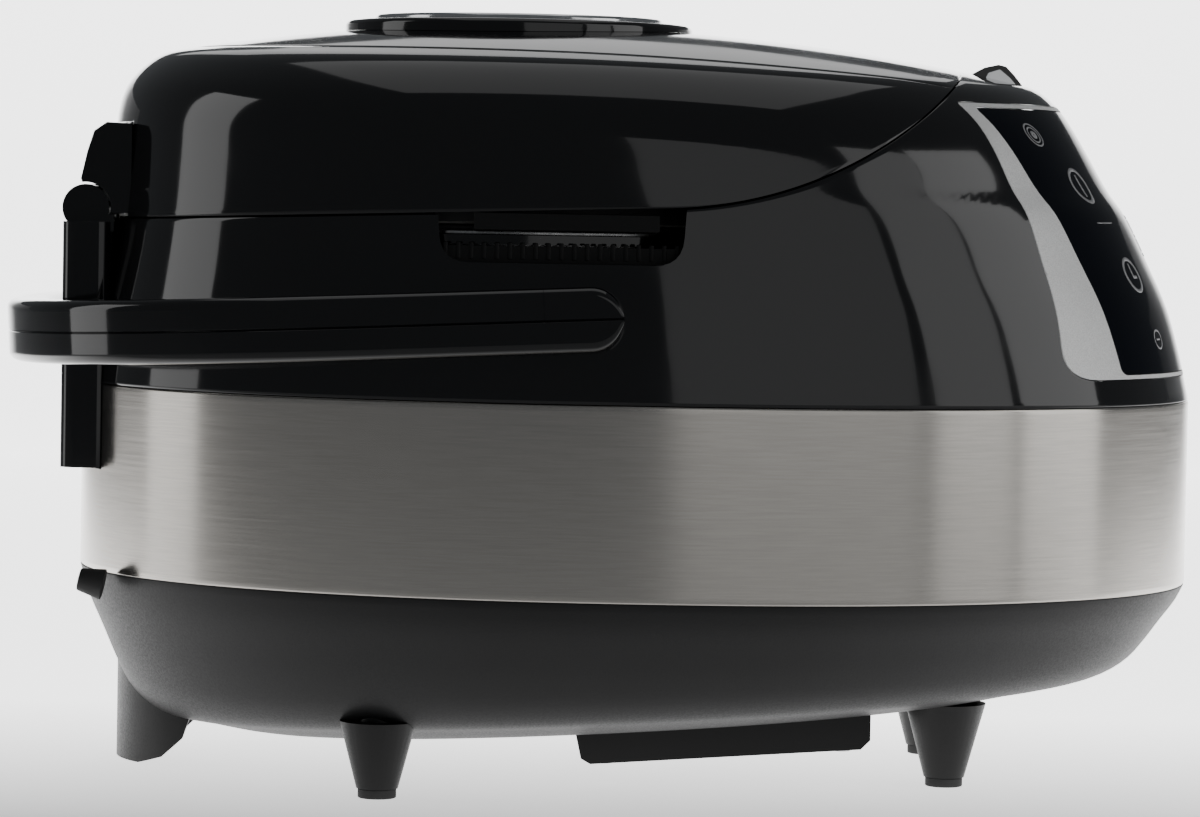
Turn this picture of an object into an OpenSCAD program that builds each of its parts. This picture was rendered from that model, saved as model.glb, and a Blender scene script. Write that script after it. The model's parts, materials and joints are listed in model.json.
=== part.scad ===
// Countertop multicooker with a hinged lid, a steel band, a touch panel and a bail handle.
// Origin: centre of the footprint on the table. +Z up, the control panel faces -Y.

/* [Body] */
// Half width of the body at the steel band
body_half_w = 134; // [130:0.5:136]
// Foremost point of the body at the steel band
body_front = -193; // [-195:0.5:-191]
// Rearmost point of the body at the steel band
body_rear = 170; // [169:0.5:171]
// Squareness of the body outline seen from above (2 is an ellipse)
plan_power = 2.17; // [2.1:0.01:2.3]
// Wall thickness of the plastic shells
wall = 2.8; // [2.4:0.1:3]

/* [Steel band] */
// Height of the lower edge of the band
band_low = 65; // [64:0.5:66]
// Width of the band
band_h = 60; // [59:0.5:61]
// Sheet thickness of the band
band_t = 0.8; // [0.6:0.1:1]

/* [Lid] */
// Height of the lid's crown
crown_top = 242.8; // [242:0.1:243]
// Half of the gap along the lid seam
seam_gap = 0.3; // [0.25:0.05:0.4]
// Width of the band between the lid's side wall and its top panel
shoulder = 28; // [26:0.5:30]
// Height of the lid hinge axis
hinge_z = 181; // [180.5:0.5:181.5]
// Distance of the lid hinge axis behind the origin
hinge_y = 165; // [164.5:0.5:165]

/* [Bowl] */
// Distance of the bowl axis behind the origin
bowl_y = 29; // [28:0.5:30]
// Outer radius of the bowl wall
bowl_r = 111; // [109:0.5:111]
// Wall thickness of the bowl
bowl_t = 1.8; // [1.5:0.1:2]
// Height of the outside of the bowl bottom
bowl_base = 44; // [44:0.5:46]

/* [Handle] */
// Distance of the handle pivots behind the origin
pivot_y = 3; // [2:0.5:4]
// Height of the handle pivots
pivot_z = 151; // [150:0.5:152]
// Height of the handle section
handle_h = 19.6; // [18:0.2:20]
// Width of the handle section
handle_w = 9; // [8:0.5:10]
// Angle that the resting handle hangs below level
handle_droop = 2.9; // [2.5:0.1:3]

/* [Base] */
// Rise of the underside towards the front, in degrees
under_slope = 4; // [3.5:0.1:4.2]
// Height of the underside at the rear feet
under_ref = 13.5; // [13:0.1:14]
// Distance of the rear feet from the middle
rear_foot_x = 95; // [93:1:96]
// Distance of the front feet from the middle
front_foot_x = 42; // [40:1:50]

/* [Smoothness] */
// Steps around the body outline
plan_steps = 48; // [48:8:56]

/* [Hidden] */
$fn = 64;
far = 400;

band_high = band_low + band_h;

// Crown of the lid: a shallow bowl-shaped surface, highest a little in front of the bowl axis
crown_y = 20;
crown_bend_y = 0.00066;
crown_bend_x = 0.00109;
function crown(x, y) = crown_top - crown_bend_y * pow(y - crown_y, 2) - crown_bend_x * x * x;

// Outline of the body from above
function curve_pow(v, p) = sign(v) * pow(abs(v), p);
function oval(half_w, front, rear, power = plan_power, steps = plan_steps) = [
    for (i = [0:steps - 1]) let (a = 360 * i / steps) [
        half_w * curve_pow(cos(a), 2 / power),
        (front + rear) / 2 + (rear - front) / 2 * curve_pow(sin(a), 2 / power)
    ]
];
function body_oval(inset) = oval(body_half_w - inset, body_front + inset, body_rear - inset);

// Stations of the upper body: [side inset, front inset, rear inset, height]
walls = [
    [0, 0, 0, band_high],
    [0.6, 3.5, 1.4, 140],
    [1.8, 8, 4, 155],
    [3, 15, 6.5, 170],
    [3.9, 22.7, 8.4, 185]
];
// Stations of the crown: [side inset, front inset, rear inset, drop below the crown surface]
crowns = [
    [5, 28, 9.7, 28],
    [6.5, 35.5, 10.7, 17],
    [9.5, 40.5, 13, 10],
    [14.5, 45, 17.5, 5],
    [22, 51, 24.5, 1.2],
    [32, 60, 36, 0.4],
    [64, 96, 70, 0],
    [98, 146, 108, 0]
];
// Stations of the lower housing: [share of the height above the underside, inset]
hull_rings = [
    [1, 0], [0.85, 2.5], [0.65, 7.5], [0.45, 12.5], [0.29, 17.5], [0.17, 25],
    [0.1, 38], [0.03, 52], [0, 62]
];
rear_foot_y = 67;
front_foot_y = -113;
function underside(y) = under_ref + (rear_foot_y - y) * tan(under_slope);

// Joins equal rings of points, listed from the bottom up, into one closed skin
module skin(rings) {
    n = len(rings[0]);
    last = len(rings) - 1;
    sides = [for (k = [0:last - 1], i = [0:n - 1]) let (j = (i + 1) % n)
        each [[k * n + i, k * n + n + i, k * n + j], [k * n + j, k * n + n + i, k * n + n + j]]];
    polyhedron(
        points = [for (ring = rings) each ring],
        faces = concat([[for (i = [0:n - 1]) i]], sides,
            [[for (i = [0:n - 1]) last * n + n - 1 - i]]));
}

// Solid inside the upper body, its surface moved in by t; every step-th station is used
module upper_form(t = 0, step = 1) {
    wall_rings = [for (k = [0:step:len(walls) - 1]) let (s = walls[k])
        [for (p = oval(body_half_w - s[0] - t, body_front + s[1] + t, body_rear - s[2] - t))
            [p[0], p[1], k == 0 && t > 0 ? s[3] - 10 : s[3]]]];
    crown_rings = [for (k = [step - 1:step:len(crowns) - 1]) let (s = crowns[k])
        [for (p = oval(body_half_w - s[0] - t, body_front + s[1] + t, body_rear - s[2] - t))
            [p[0], p[1], crown(p[0], p[1]) - s[3] - t]]];
    n = plan_steps;
    rings = concat(wall_rings, crown_rings);
    last = len(rings) - 1;
    peak = [0, crown_y, crown_top - t];
    polyhedron(
        points = concat([for (ring = rings) each ring], [peak]),
        faces = concat([[for (i = [0:n - 1]) i]],
            [for (k = [0:last - 1], i = [0:n - 1]) let (j = (i + 1) % n) each [
                [k * n + i, k * n + n + i, k * n + j],
                [k * n + j, k * n + n + i, k * n + n + j]]],
            [for (i = [0:n - 1]) [last * n + i, len(rings) * n, last * n + (i + 1) % n]]));
}

// Solid inside the lower housing, its surface moved in by t
module lower_form(t = 0) {
    rings = [for (k = [len(hull_rings) - 1:-1:0]) let (s = hull_rings[k])
        [for (p = body_oval(s[1] + t)) let (low = underside(p[1]) + t)
            [p[0], p[1], low + s[0] * (band_low - low)]]];
    skin(t > 0 ? concat(rings, [[for (p = body_oval(t)) [p[0], p[1], band_low + 1]]]) : rings);
}

// Lid seam seen from the side: straight with a slight rise, then an arc up to the crown
seam_rear = [180, 177];
seam_slope = 2.1;
arc_y = -20;
arc_r = 130;
arc_z = seam_rear[1] + (seam_rear[0] - arc_y) * tan(seam_slope);
arc_centre = [arc_y + arc_r * sin(seam_slope), arc_z + arc_r * cos(seam_slope)];
function seam_line(lift) = concat(
    [[far, seam_rear[1] + lift - (far - seam_rear[0]) * tan(seam_slope)]],
    [for (a = [-90 - seam_slope:-4:-158]) arc_centre + (arc_r - lift) * [cos(a), sin(a)]]);

// Extrudes an outline drawn in Y and Z across the body, from x0 to x1
module across(x0, x1) {
    translate([x0, 0, 0])
        rotate([90, 0, 90])
            linear_extrude(x1 - x0)
                children();
}
module above_seam(lift) {
    line = seam_line(lift);
    across(-far, far)
        polygon(concat(line, [[line[len(line) - 1][0], far], [far, far]]));
}
module below_seam(lift) {
    line = seam_line(lift);
    across(-far, far)
        polygon(concat(line, [[line[len(line) - 1][0], far], [-far, far], [-far, 0], [far, 0]]));
}
module both_sides() {
    children();
    mirror([1, 0, 0])
        children();
}
module box(low, high) {
    translate(low)
        cube(high - low);
}
module rod(r, x0, x1, y, z) {
    translate([x0, y, z])
        rotate([0, 90, 0])
            cylinder(r = r, h = x1 - x0);
}
module tube(r_out, r_in, h) {
    difference() {
        cylinder(r = r_out, h = h);
        translate([0, 0, -1])
            cylinder(r = r_in, h = h + 2);
    }
}
module at_bowl(z) {
    translate([0, bowl_y, z])
        children();
}
// Rectangle with rounded corners, centred, as a plain list of points
function round_rect(w, h, r, steps = 5) = [
    for (c = [[1, 1, 0], [-1, 1, 90], [-1, -1, 180], [1, -1, 270]], i = [0:steps])
        let (a = c[2] + 90 * i / steps)
            [c[0] * (w / 2 - r) + r * cos(a), c[1] * (h / 2 - r) + r * sin(a)]
];

// ---------- lower housing and what stands on the table ----------
skirt_h = 6;
board_z = 46;
foot_top_r = 12;
foot_tip_r = 6.5;
pad_h = 3;
inlet_x = 58;
inlet_y = 157;
inlet_z = 43;
inlet_w = 31;
inlet_h = 24;
inlet_depth = 18;
socket_depth = 14;
cover_half_w = 60;
cover_rear = 6;
cover_front = -88;
cover_depth = 11;

module feet_at(x, y, z) {
    for (side = [-1, 1])
        translate([side * x, y, z])
            children();
}
module inlet_block(grow) {
    translate([inlet_x, inlet_y, inlet_z])
        rotate([90, 0, 0])
            linear_extrude(inlet_depth)
                polygon(round_rect(inlet_w + 2 * grow, inlet_h + 2 * grow, 4));
}
module at_screws() {
    for (x = [-1, 1], y = [cover_front + 9, cover_rear - 9])
        translate([x * (cover_half_w - 7), y, underside(y) - cover_depth - 0.6])
            children();
}
module base_screw(grow) {
    cylinder(r = 3.2 + grow, h = 2.4 + grow);
    cylinder(r = 1.6 + grow, h = 16 + grow);
}
module board_posts(r, h) {
    for (x = [-52, 52], y = [-147, -108])
        translate([x, y, 0])
            cylinder(r = r, h = h);
}
module lower_housing() {
    color("#3a3a3c") {
        intersection() {
            board_posts(3.2, board_z);
            lower_form(wall - 0.4);
        }
        difference() {
            lower_form();
            lower_form(wall);
            at_screws()
                base_screw(0.1);
            feet_at(rear_foot_x, rear_foot_y, 0)
                cylinder(r = foot_top_r - 3, h = 60);
            feet_at(front_foot_x, front_foot_y, 0)
                cylinder(r = foot_top_r - 3, h = 60);
            inlet_block(0.2);
            box([-cover_half_w + 12, cover_front + 8, 0], [cover_half_w - 12, cover_rear - 8, 40]);
        }
        translate([0, 0, band_low - 3])
            linear_extrude(3 + skirt_h)
                difference() {
                    polygon(body_oval(band_t + 0.3 + 0.9));
                    polygon(body_oval(band_t + 3.2));
                }
    }
}
module bottom_cover() {
    slot_count = 9;
    slot_step = 9;
    rear_z = underside(cover_rear);
    front_z = underside(cover_front);
    color("#1d1d1f")
        difference() {
            across(-cover_half_w, cover_half_w)
                polygon([
                    [cover_rear, rear_z - 0.1], [cover_rear - 2, rear_z - cover_depth + 2],
                    [cover_rear - 5, rear_z - cover_depth + 0.3], [cover_front + 3, front_z - cover_depth],
                    [cover_front, front_z - cover_depth + 3], [cover_front, front_z - 0.1]
                ]);
            across(-cover_half_w + 3, cover_half_w - 3)
                polygon([
                    [cover_rear - 4, rear_z + 5], [cover_rear - 6, rear_z - cover_depth + 3.4],
                    [cover_front + 3, front_z - cover_depth + 3], [cover_front + 3, front_z + 5]
                ]);
            at_screws()
                base_screw(0.1);
            for (i = [0:slot_count - 1])
                translate([(i - (slot_count - 1) / 2) * slot_step, 0, 0])
                    box([-2, cover_front + 22, 0], [2, cover_rear - 24, 30]);
        }
}
module base_screws() {
    color("#8d8f92")
        at_screws()
            base_screw(0);
}
module foot_pair(x, y, top_r, h) {
    color("#1a1a1c")
        difference() {
            feet_at(x, y, pad_h) {
                cylinder(r1 = foot_tip_r, r2 = top_r, h = h);
                cylinder(r = foot_tip_r, h = h + 10);
            }
            lower_form();
        }
}
module front_feet() {
    foot_pair(front_foot_x, front_foot_y, foot_top_r + 1, 24);
}
module rear_feet() {
    foot_pair(rear_foot_x, rear_foot_y, foot_top_r, 21);
}
module foot_pads() {
    color("#111112") {
        feet_at(rear_foot_x, rear_foot_y, 0)
            cylinder(r = foot_tip_r - 0.5, h = pad_h);
        feet_at(front_foot_x, front_foot_y, 0)
            cylinder(r = foot_tip_r - 0.5, h = pad_h);
    }
}
module rear_stand() {
    stand_r = 42;
    stand_y = 116;
    color("#222224")
        difference() {
            intersection() {
                translate([0, stand_y, 0.6])
                    tube(stand_r, stand_r - 3, 60);
                across(-far, far)
                    polygon([[158.5, 0], [150, 0], [140, 3.5], [133, 10], [129.5, 20], [129, 40], [170, 60]]);
            }
            lower_form(-0.1);
        }
}
module rear_bumpers() {
    color("#161618")
        for (x = [-66, 66])
            translate([x, 156, band_low - 3])
                rotate([-78, 0, 0])
                    cylinder(r1 = 5, r2 = 3.5, h = 8);
}

// ---------- band and upper shell ----------
box_half_w = 52;
box_low = 98;
box_high = 176.5;
box_front = 156;
box_rear = 172.5;
pocket_r = 118.5;
deck_z = 175.5;
deck_hole_r = 116;
grip_front = -26;
grip_rear = 51;
grip_low = 167.2;
panel_top = 219;
panel_low = 133.5;
panel_top_w = 85;
panel_low_w = 96;
glass_top_w = 83;
glass_low_w = 78;
button_half_w = 24;
button_front = -136;
button_rear = -117;

module hinge_notch() {
    box([-box_half_w - 0.4, box_front - 0.4, box_low - 0.4], [box_half_w + 0.4, 200, 205]);
}
module steel_band() {
    color("#b9b4aa")
        difference() {
            translate([0, 0, band_low + 0.15])
                linear_extrude(band_h - 0.3)
                    difference() {
                        polygon(body_oval(0));
                        polygon(body_oval(band_t));
                    }
            hinge_notch();
        }
}
// Front view outline of a part of the control panel, extruded through the front wall
module panel_column(top_w, low_w, grow) {
    top = panel_top + grow;
    low = panel_low - grow;
    corner = 9;
    translate([0, -100, 0])
        rotate([90, 0, 0])
            linear_extrude(140)
                polygon([
                    [-top_w - grow, top], [-low_w - grow, low + corner],
                    [-low_w - grow + corner, low], [low_w + grow - corner, low],
                    [low_w + grow, low + corner], [top_w + grow, top]
                ]);
}
module grip_cut(x0, low) {
    both_sides()
        across(x0, 160)
            polygon([
                [grip_front, 200], [grip_front, low + 6], [grip_front + 2, low + 2], [grip_front + 6, low],
                [grip_rear - 6, low], [grip_rear - 2, low + 2], [grip_rear, low + 6], [grip_rear, 200]
            ]);
}
module upper_shell() {
    color("#0c0c0e") {
        difference() {
            intersection() {
                upper_form();
                below_seam(-seam_gap);
            }
            difference() {
                intersection() {
                    upper_form(wall, 2);
                    below_seam(-seam_gap - wall);
                }
                at_bowl(deck_z - 3)
                    cylinder(r = pocket_r + 2.5, h = 80);
            }
            at_bowl(deck_z)
                cylinder(r = pocket_r, h = 80);
            at_bowl(100)
                cylinder(r = deck_hole_r, h = 100);
            grip_cut(100, deck_z);
            grip_cut(pocket_r + 2.8, grip_low);
            panel_column(panel_top_w, panel_low_w, 0.3);
            hinge_notch();
            box([-button_half_w - 0.4, button_front - 0.6, 215.5],
                [button_half_w + 0.4, button_rear + 0.8, 250]);
            box([-12, -114, 203], [12, -94.5, 250]);
            both_sides()
                rod(8.7, 120, 140, pivot_y, pivot_z);
        }
        translate([0, 0, band_high - skirt_h])
            linear_extrude(skirt_h + 3)
                difference() {
                    polygon(body_oval(band_t + 1.2));
                    polygon(body_oval(band_t + 3.2));
                    translate([-box_half_w - 0.4, 150])
                        square([2 * box_half_w + 0.8, 30]);
                }
    }
}
module grip_liners() {
    color("#151517")
        both_sides()
            difference() {
                intersection() {
                    upper_form(wall + 0.2, 2);
                    box([121.6, grip_front + 0.3, grip_low - 2], [128, grip_rear - 0.3, deck_z - 3.2]);
                }
                box([123.2, grip_front - 5, grip_low], [140, grip_rear + 5, 190]);
            }
}
module panel_bezel() {
    color("#8c8c8b")
        intersection() {
            difference() {
                upper_form();
                upper_form(3, 2);
                panel_column(glass_top_w, glass_low_w, -1.2);
            }
            panel_column(panel_top_w, panel_low_w, 0);
            below_seam(-seam_gap);
        }
}
module control_glass() {
    color("#07080b")
        intersection() {
            difference() {
                upper_form(0.1);
                upper_form(2, 1);
            }
            panel_column(glass_top_w, glass_low_w, -1.5);
        }
}
// Puts a flat board parallel to the control panel; the board's face is its local XY plane
board_tilt = 62;
module behind_panel(depth, along = 0) {
    translate([0, -171 + depth, 172 + along])
        rotate([board_tilt, 0, 0])
            children();
}
module display_module() {
    color("#20242a")
        behind_panel(10.6, 4)
            box([-38, -16, -3], [38, 16, 4.5]);
}
module control_board() {
    color("#1f5a35")
        difference() {
            behind_panel(18)
                box([-62, -36, -1.6], [62, 36, 0]);
            both_sides()
                behind_panel(18)
                    translate([56, 30, -5])
                        cylinder(r = 1.7, h = 10);
        }
}
module power_board() {
    color("#9a7a3c") {
        difference() {
            box([-58, -155, board_z], [58, -102, board_z + 1.6]);
            board_posts(1.7, 60);
        }
    }
}
module power_parts() {
    base = board_z + 1.6;
    color("#2b4d86") {
        box([-50, -150, base], [-22, -122, base + 24]);
        box([-14, -148, base], [5, -133, base + 16]);
        box([12, -150, base], [31, -131, base + 14]);
        translate([44, -140, base])
            cylinder(r = 8, h = 22);
        translate([44, -118, base])
            cylinder(r = 5, h = 15);
    }
}

// ---------- heating and bowl ----------
shield_r = 115.4;
plate_r = 84;
plate_low = 35;
sensor_r = 14;
rim_z = 176.7;
module heat_shield() {
    t = 0.8;
    color("#a9abad")
        at_bowl(0)
            rotate_extrude($fn = 96)
                polygon([
                    [20, 31], [92, 31], [shield_r, 52], [shield_r, deck_z],
                    [shield_r - t, deck_z], [shield_r - t, 52 + t / 2], [92 - t / 2, 31 + t], [20, 31 + t]
                ]);
}
module side_heater() {
    color("#c9c2b0")
        at_bowl(96)
            intersection() {
                tube(shield_r + 1.6, shield_r, 30);
                rotate([0, 0, -58])
                    rotate_extrude(angle = 296)
                        translate([100, -1])
                            square([30, 32]);
            }
}
module rim_ring() {
    color("#c4c6c8")
        at_bowl(deck_z)
            tube(pocket_r - 0.4, bowl_r + 0.5, rim_z - deck_z);
}
module heating_plate() {
    color("#9fa2a5")
        at_bowl(plate_low)
            difference() {
                cylinder(r = plate_r, h = bowl_base - plate_low);
                translate([0, 0, -1])
                    cylinder(r = sensor_r + 2.5, h = 20);
                translate([0, 0, -1])
                    tube(62, 54, 4.5);
            }
}
module heater_tube() {
    color("#6d6f72")
        at_bowl(plate_low)
            rotate_extrude(angle = 330)
                translate([58, 0.2])
                    circle(r = 3.2, $fn = 24);
}
module heater_posts() {
    color("#b8babc")
        at_bowl(31.8)
            for (i = [0:2])
                rotate([0, 0, 120 * i + 30])
                    translate([74, 0, 0])
                        cylinder(r = 4, h = plate_low - 31.8);
}
module thermal_fuse() {
    color("#d8d4c8")
        rod(1.5, 21, 39, bowl_y, 33.4);
}
module bowl() {
    corner = 24;
    r = bowl_r;
    color("#3c3b3a")
        at_bowl(bowl_base)
            rotate_extrude($fn = 96)
                difference() {
                    union() {
                        square([r - corner, 60]);
                        translate([r - corner, corner])
                            circle(r = corner);
                        translate([0, corner])
                            square([r, rim_z + 1.5 - bowl_base - corner]);
                        translate([0, rim_z - bowl_base])
                            square([r + 4, 1.5]);
                    }
                    translate([-far, -1])
                        square([far, far]);
                    translate([0, bowl_t])
                        square([r - corner, far]);
                    translate([r - corner, corner])
                        circle(r = corner - bowl_t);
                    translate([0, corner])
                        square([r - bowl_t, far]);
                }
}
module bowl_grips() {
    color("#1b1b1d")
        both_sides()
            difference() {
                union() {
                    box([119.5, -17, rim_z + 0.4], [127.2, 39, rim_z + 5.6]);
                    box([100, -9, rim_z], [120.2, 31, rim_z + 1.5]);
                }
                at_bowl(rim_z - 5)
                    cylinder(r = bowl_r + 4, h = 20);
            }
}
module bowl_sensor() {
    color("#c9cbcd")
        at_bowl(34) {
            cylinder(r = sensor_r, h = 9.6);
            translate([0, 0, -6])
                cylinder(r = 5, h = 7);
        }
}
module sensor_spring() {
    color("#84868a")
        at_bowl(20.3)
            for (i = [0:6])
                translate([0, 0, 2.15 * i])
                    rotate_extrude()
                        translate([8, 0])
                            circle(r = 0.7, $fn = 16);
}

// ---------- hinge box at the back ----------
cup_half_w = 44;
cup_high = 150;
barrel_r = 7.5;
pin_r = 3;
arm_x0 = 34;
arm_x1 = 42;
module hinge_housing() {
    color("#0f0f11")
        difference() {
            union() {
                translate([0, (box_front + box_rear) / 2, box_low])
                    linear_extrude(box_high - box_low)
                        polygon(round_rect(2 * box_half_w, box_rear - box_front, 5));
                rod(barrel_r, -box_half_w + 2, box_half_w - 2, hinge_y, hinge_z);
                box([-box_half_w + 2, box_front, box_high - 3], [box_half_w - 2, hinge_y, hinge_z - 2]);
            }
            box([-cup_half_w - 0.4, box_front + 3, box_low - 1],
                [cup_half_w + 0.4, box_rear + 5, cup_high + 0.4]);
            box([-box_half_w + 3, box_front + 2.5, cup_high + 3],
                [box_half_w - 3, box_rear - 2.5, 171]);
            both_sides()
                box([arm_x0 - 0.5, box_front - 1, 173.4], [arm_x1 + 0.5, box_rear + 2, 200]);
            rod(pin_r, -48, 48, hinge_y, hinge_z);
            rod(barrel_r - 1.2, -30, 30, hinge_y, hinge_z);
        }
}
module hinge_pin() {
    color("#b4b6b9")
        rod(pin_r, -48, 48, hinge_y, hinge_z);
}
module hinge_springs() {
    color("#77797c")
        both_sides()
            for (i = [0:7])
                translate([8 + 2.4 * i, hinge_y, hinge_z])
                    rotate([0, 90, 0])
                        rotate_extrude()
                            translate([pin_r + 1.6, 0])
                                circle(r = 0.9, $fn = 16);
}
module condensate_cup() {
    t = 1.6;
    color("#141416")
        difference() {
            box([-cup_half_w, box_front + 3.4, box_low + 0.3],
                [cup_half_w, box_rear - 0.2, cup_high]);
            box([-cup_half_w + t, box_front + 3.4 + t, box_low + 0.3 + t],
                [cup_half_w - t, box_rear - 0.2 - t, cup_high + 1]);
        }
}
module power_inlet() {
    color("#121214")
        difference() {
            inlet_block(0);
            translate([inlet_x, inlet_y + 1, inlet_z])
                rotate([90, 0, 0])
                    linear_extrude(socket_depth + 1)
                        polygon(round_rect(inlet_w - 6, inlet_h - 7, 2.5));
        }
}
module inlet_pins() {
    color("#c7c0a8")
        for (p = [[-7, -1.5], [0, 2.2], [7, -1.5]])
            translate([inlet_x + p[0], 0, inlet_z + p[1]])
                box([-1, inlet_y - socket_depth, -2], [1, inlet_y - 3, 2]);
}

// ---------- handle ----------
arm_out = 147;
arm_straight = 47;
handle_reach = 189.7;
handle_power = 2.6;
module handle_pivots() {
    color("#1a1a1c")
        both_sides() {
            rod(8.5, 122, arm_out - handle_w - 0.3, pivot_y, pivot_z);
            rod(5, 137, arm_out - 3, pivot_y, pivot_z);
        }
}
// Half outline of the bail seen from above, from the straight arm round to the back
function bail_curve(half_w, reach) = [for (i = [0:48]) let (a = 180 * i / 48)
    [half_w * curve_pow(cos(a), 2 / handle_power),
     arm_straight + (reach - arm_straight) * curve_pow(sin(a), 2 / handle_power)]];
module bail_plan(start) {
    inner = bail_curve(arm_out - handle_w, handle_reach - 13.5);
    polygon(concat(
        [[arm_out, start]], bail_curve(arm_out, handle_reach), [[-arm_out, start]],
        [[-arm_out + handle_w, start]], [for (i = [len(inner) - 1:-1:0]) inner[i]],
        [[arm_out - handle_w, start]]));
}
module in_handle() {
    translate([0, pivot_y, pivot_z])
        rotate([-handle_droop, 0, 0])
            children();
}
module carry_handle() {
    color("#0d0d0f")
        difference() {
            in_handle() {
                translate([0, 0, -handle_h / 2])
                    linear_extrude(handle_h / 2)
                        bail_plan(0);
                both_sides()
                    intersection() {
                        rod(handle_h / 2, arm_out - handle_w, arm_out, 0, 0);
                        box([0, -20, -20], [160, 14, 20]);
                    }
                both_sides()
                    box([arm_out - handle_w, 0, 0], [arm_out, 13.9, handle_h / 2]);
            }
            both_sides()
                rod(5.05, arm_out - handle_w - 1, arm_out - 2.6, pivot_y, pivot_z);
        }
}
module handle_cover() {
    color("#0b0b0d")
        in_handle()
            linear_extrude(handle_h / 2)
                bail_plan(14);
}

// ---------- lid ----------
vent_r = 57;
cup_r = 30;
plug_r = pocket_r - 1;
liner_t = 2.4;
module shoulder_column(inset, z0 = 150) {
    translate([0, 0, z0])
        linear_extrude(120)
            polygon(body_oval(inset));
}
module lid_shell() {
    color("#0a0a0c")
        difference() {
            intersection() {
                upper_form();
                above_seam(seam_gap);
            }
            upper_form(2.6, 2);
            shoulder_column(shoulder + 5.6, 215);
            box([-box_half_w + 0.3, 150.3, 170], [box_half_w - 0.3, 200, 208.6]);
        }
}
module lid_top_panel() {
    color("#0b0b0d")
        difference() {
            intersection() {
                upper_form();
                above_seam(seam_gap);
                shoulder_column(shoulder + 6);
            }
            upper_form(2.4, 1);
            at_bowl(200)
                cylinder(r = cup_r + 2.3, h = 60);
        }
}
module hinge_cover() {
    t = 2;
    color("#0d0d0f")
        difference() {
            across(-box_half_w + 0.8, box_half_w - 0.8)
                polygon([
                    [150.5, 179.4], [150.5, 208], [158.5, 208.3], [162.5, 205.5],
                    [164.6, 199], [166.6, 190.2], [162, 179.4]
                ]);
            across(-box_half_w + 0.8 + t, box_half_w - 0.8 - t)
                polygon([[140, 170], [140, 206], [157.5, 206.2], [160.8, 204], [162.6, 198], [163.5, 170]]);
            rod(barrel_r + 0.6, -60, 60, hinge_y, hinge_z);
        }
}
module lid_hinge_arms() {
    color("#9b9da0")
        both_sides()
            difference() {
                union() {
                    rod(barrel_r - 0.5, arm_x0, arm_x1, hinge_y, hinge_z);
                    across(arm_x0, arm_x1)
                        polygon([
                            [hinge_y - 4, hinge_z + 5.6], [hinge_y - 5.6, hinge_z + 0.5],
                            [150, 190], [110, 194], [110, 198], [150, 198]
                        ]);
                }
                rod(pin_r + 0.05, arm_x0 - 1, arm_x1 + 1, hinge_y, hinge_z);
            }
}
disc_z = 187;
module lid_liner() {
    color("#2a2a2d")
        difference() {
            union() {
                difference() {
                    intersection() {
                        upper_form(3.2, 2);
                        above_seam(seam_gap + 0.4);
                        below_seam(seam_gap + 0.4 + liner_t);
                    }
                    at_bowl(150)
                        cylinder(r = plug_r - 1, h = 120);
                    box([-box_half_w, 150, 170], [box_half_w, 200, 208]);
                }
                intersection() {
                    at_bowl(179.3)
                        tube(plug_r, plug_r - liner_t, 60);
                    union() {
                        below_seam(seam_gap + 0.4 + liner_t);
                        box([-150, -150, 170], [150, 170, disc_z + liner_t]);
                    }
                }
                at_bowl(disc_z)
                    cylinder(r = plug_r - 0.5, h = liner_t);
            }
            at_bowl(150)
                cylinder(r = cup_r - 6, h = 60);
        }
}
module inner_lid_plate() {
    color("#c3c5c7")
        at_bowl(181)
            difference() {
                cylinder(r = 103.5, h = 1.5);
                translate([0, 0, -1])
                    cylinder(r = 12, h = 4);
                for (i = [0:11])
                    rotate([0, 0, 30 * i])
                        translate([24, 0, -1])
                            cylinder(r = 2.5, h = 4);
            }
}
module lid_gasket() {
    color("#e4e2dc")
        at_bowl(178.6)
            rotate_extrude($fn = 96)
                polygon([
                    [104, 1.6], [104, 5], [108, 5], [109, 8.4], [112, 8.4], [114.2, 4],
                    [114.6, 1], [112.6, 0], [109.4, 0.6], [107, 2.2]
                ]);
}
module valve_cup() {
    color("#242427")
        at_bowl(disc_z + liner_t)
            difference() {
                cylinder(r = cup_r, h = 49);
                translate([0, 0, 2])
                    cylinder(r = cup_r - 2, h = 60);
                translate([0, 0, -1])
                    cylinder(r = 8, h = 5);
            }
}
module lid_screws() {
    color("#8d8f92")
        at_bowl(disc_z - 1.8)
            for (i = [0:5])
                rotate([0, 0, 60 * i + 30])
                    translate([100, 0, 0])
                        cylinder(r = 3, h = 1.8);
}
module lid_strike() {
    color("#b4b6b9")
        difference() {
            union() {
                rod(2, -9.5, 9.5, -101.5, 208.5);
                both_sides()
                    box([7.5, -104, 206.5], [10, -99, 226]);
            }
            above_seam(seam_gap + 0.35);
        }
}
module lid_sensor() {
    color("#b0b2b4")
        translate([60, bowl_y, 182.5])
            cylinder(r = 4, h = 4.5);
}

// ---------- steam vent ----------
vent_top = 245.2;
module vent_cover() {
    spigot_r = cup_r - 2.4;
    color("#111113")
        difference() {
            at_bowl(0)
                rotate_extrude($fn = 96)
                    polygon([
                        [0, vent_top], [44.5, vent_top - 1], [44.5, vent_top - 2], [47.6, vent_top - 2],
                        [47.6, vent_top - 1], [vent_r - 1.2, vent_top - 1.8], [vent_r, vent_top - 3],
                        [vent_r, vent_top - 8], [spigot_r, vent_top - 8], [spigot_r, 205],
                        [spigot_r - 1.8, 205], [spigot_r - 1.8, vent_top - 4], [0, vent_top - 3]
                    ]);
            difference() {
                upper_form(-0.3);
                at_bowl(200)
                    cylinder(r = spigot_r + 0.3, h = 60);
            }
            for (i = [-3:3])
                box([5.2 * i - 1.4, bowl_y - 20, 235], [5.2 * i + 1.4, bowl_y - 6, 250]);
        }
}
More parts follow.
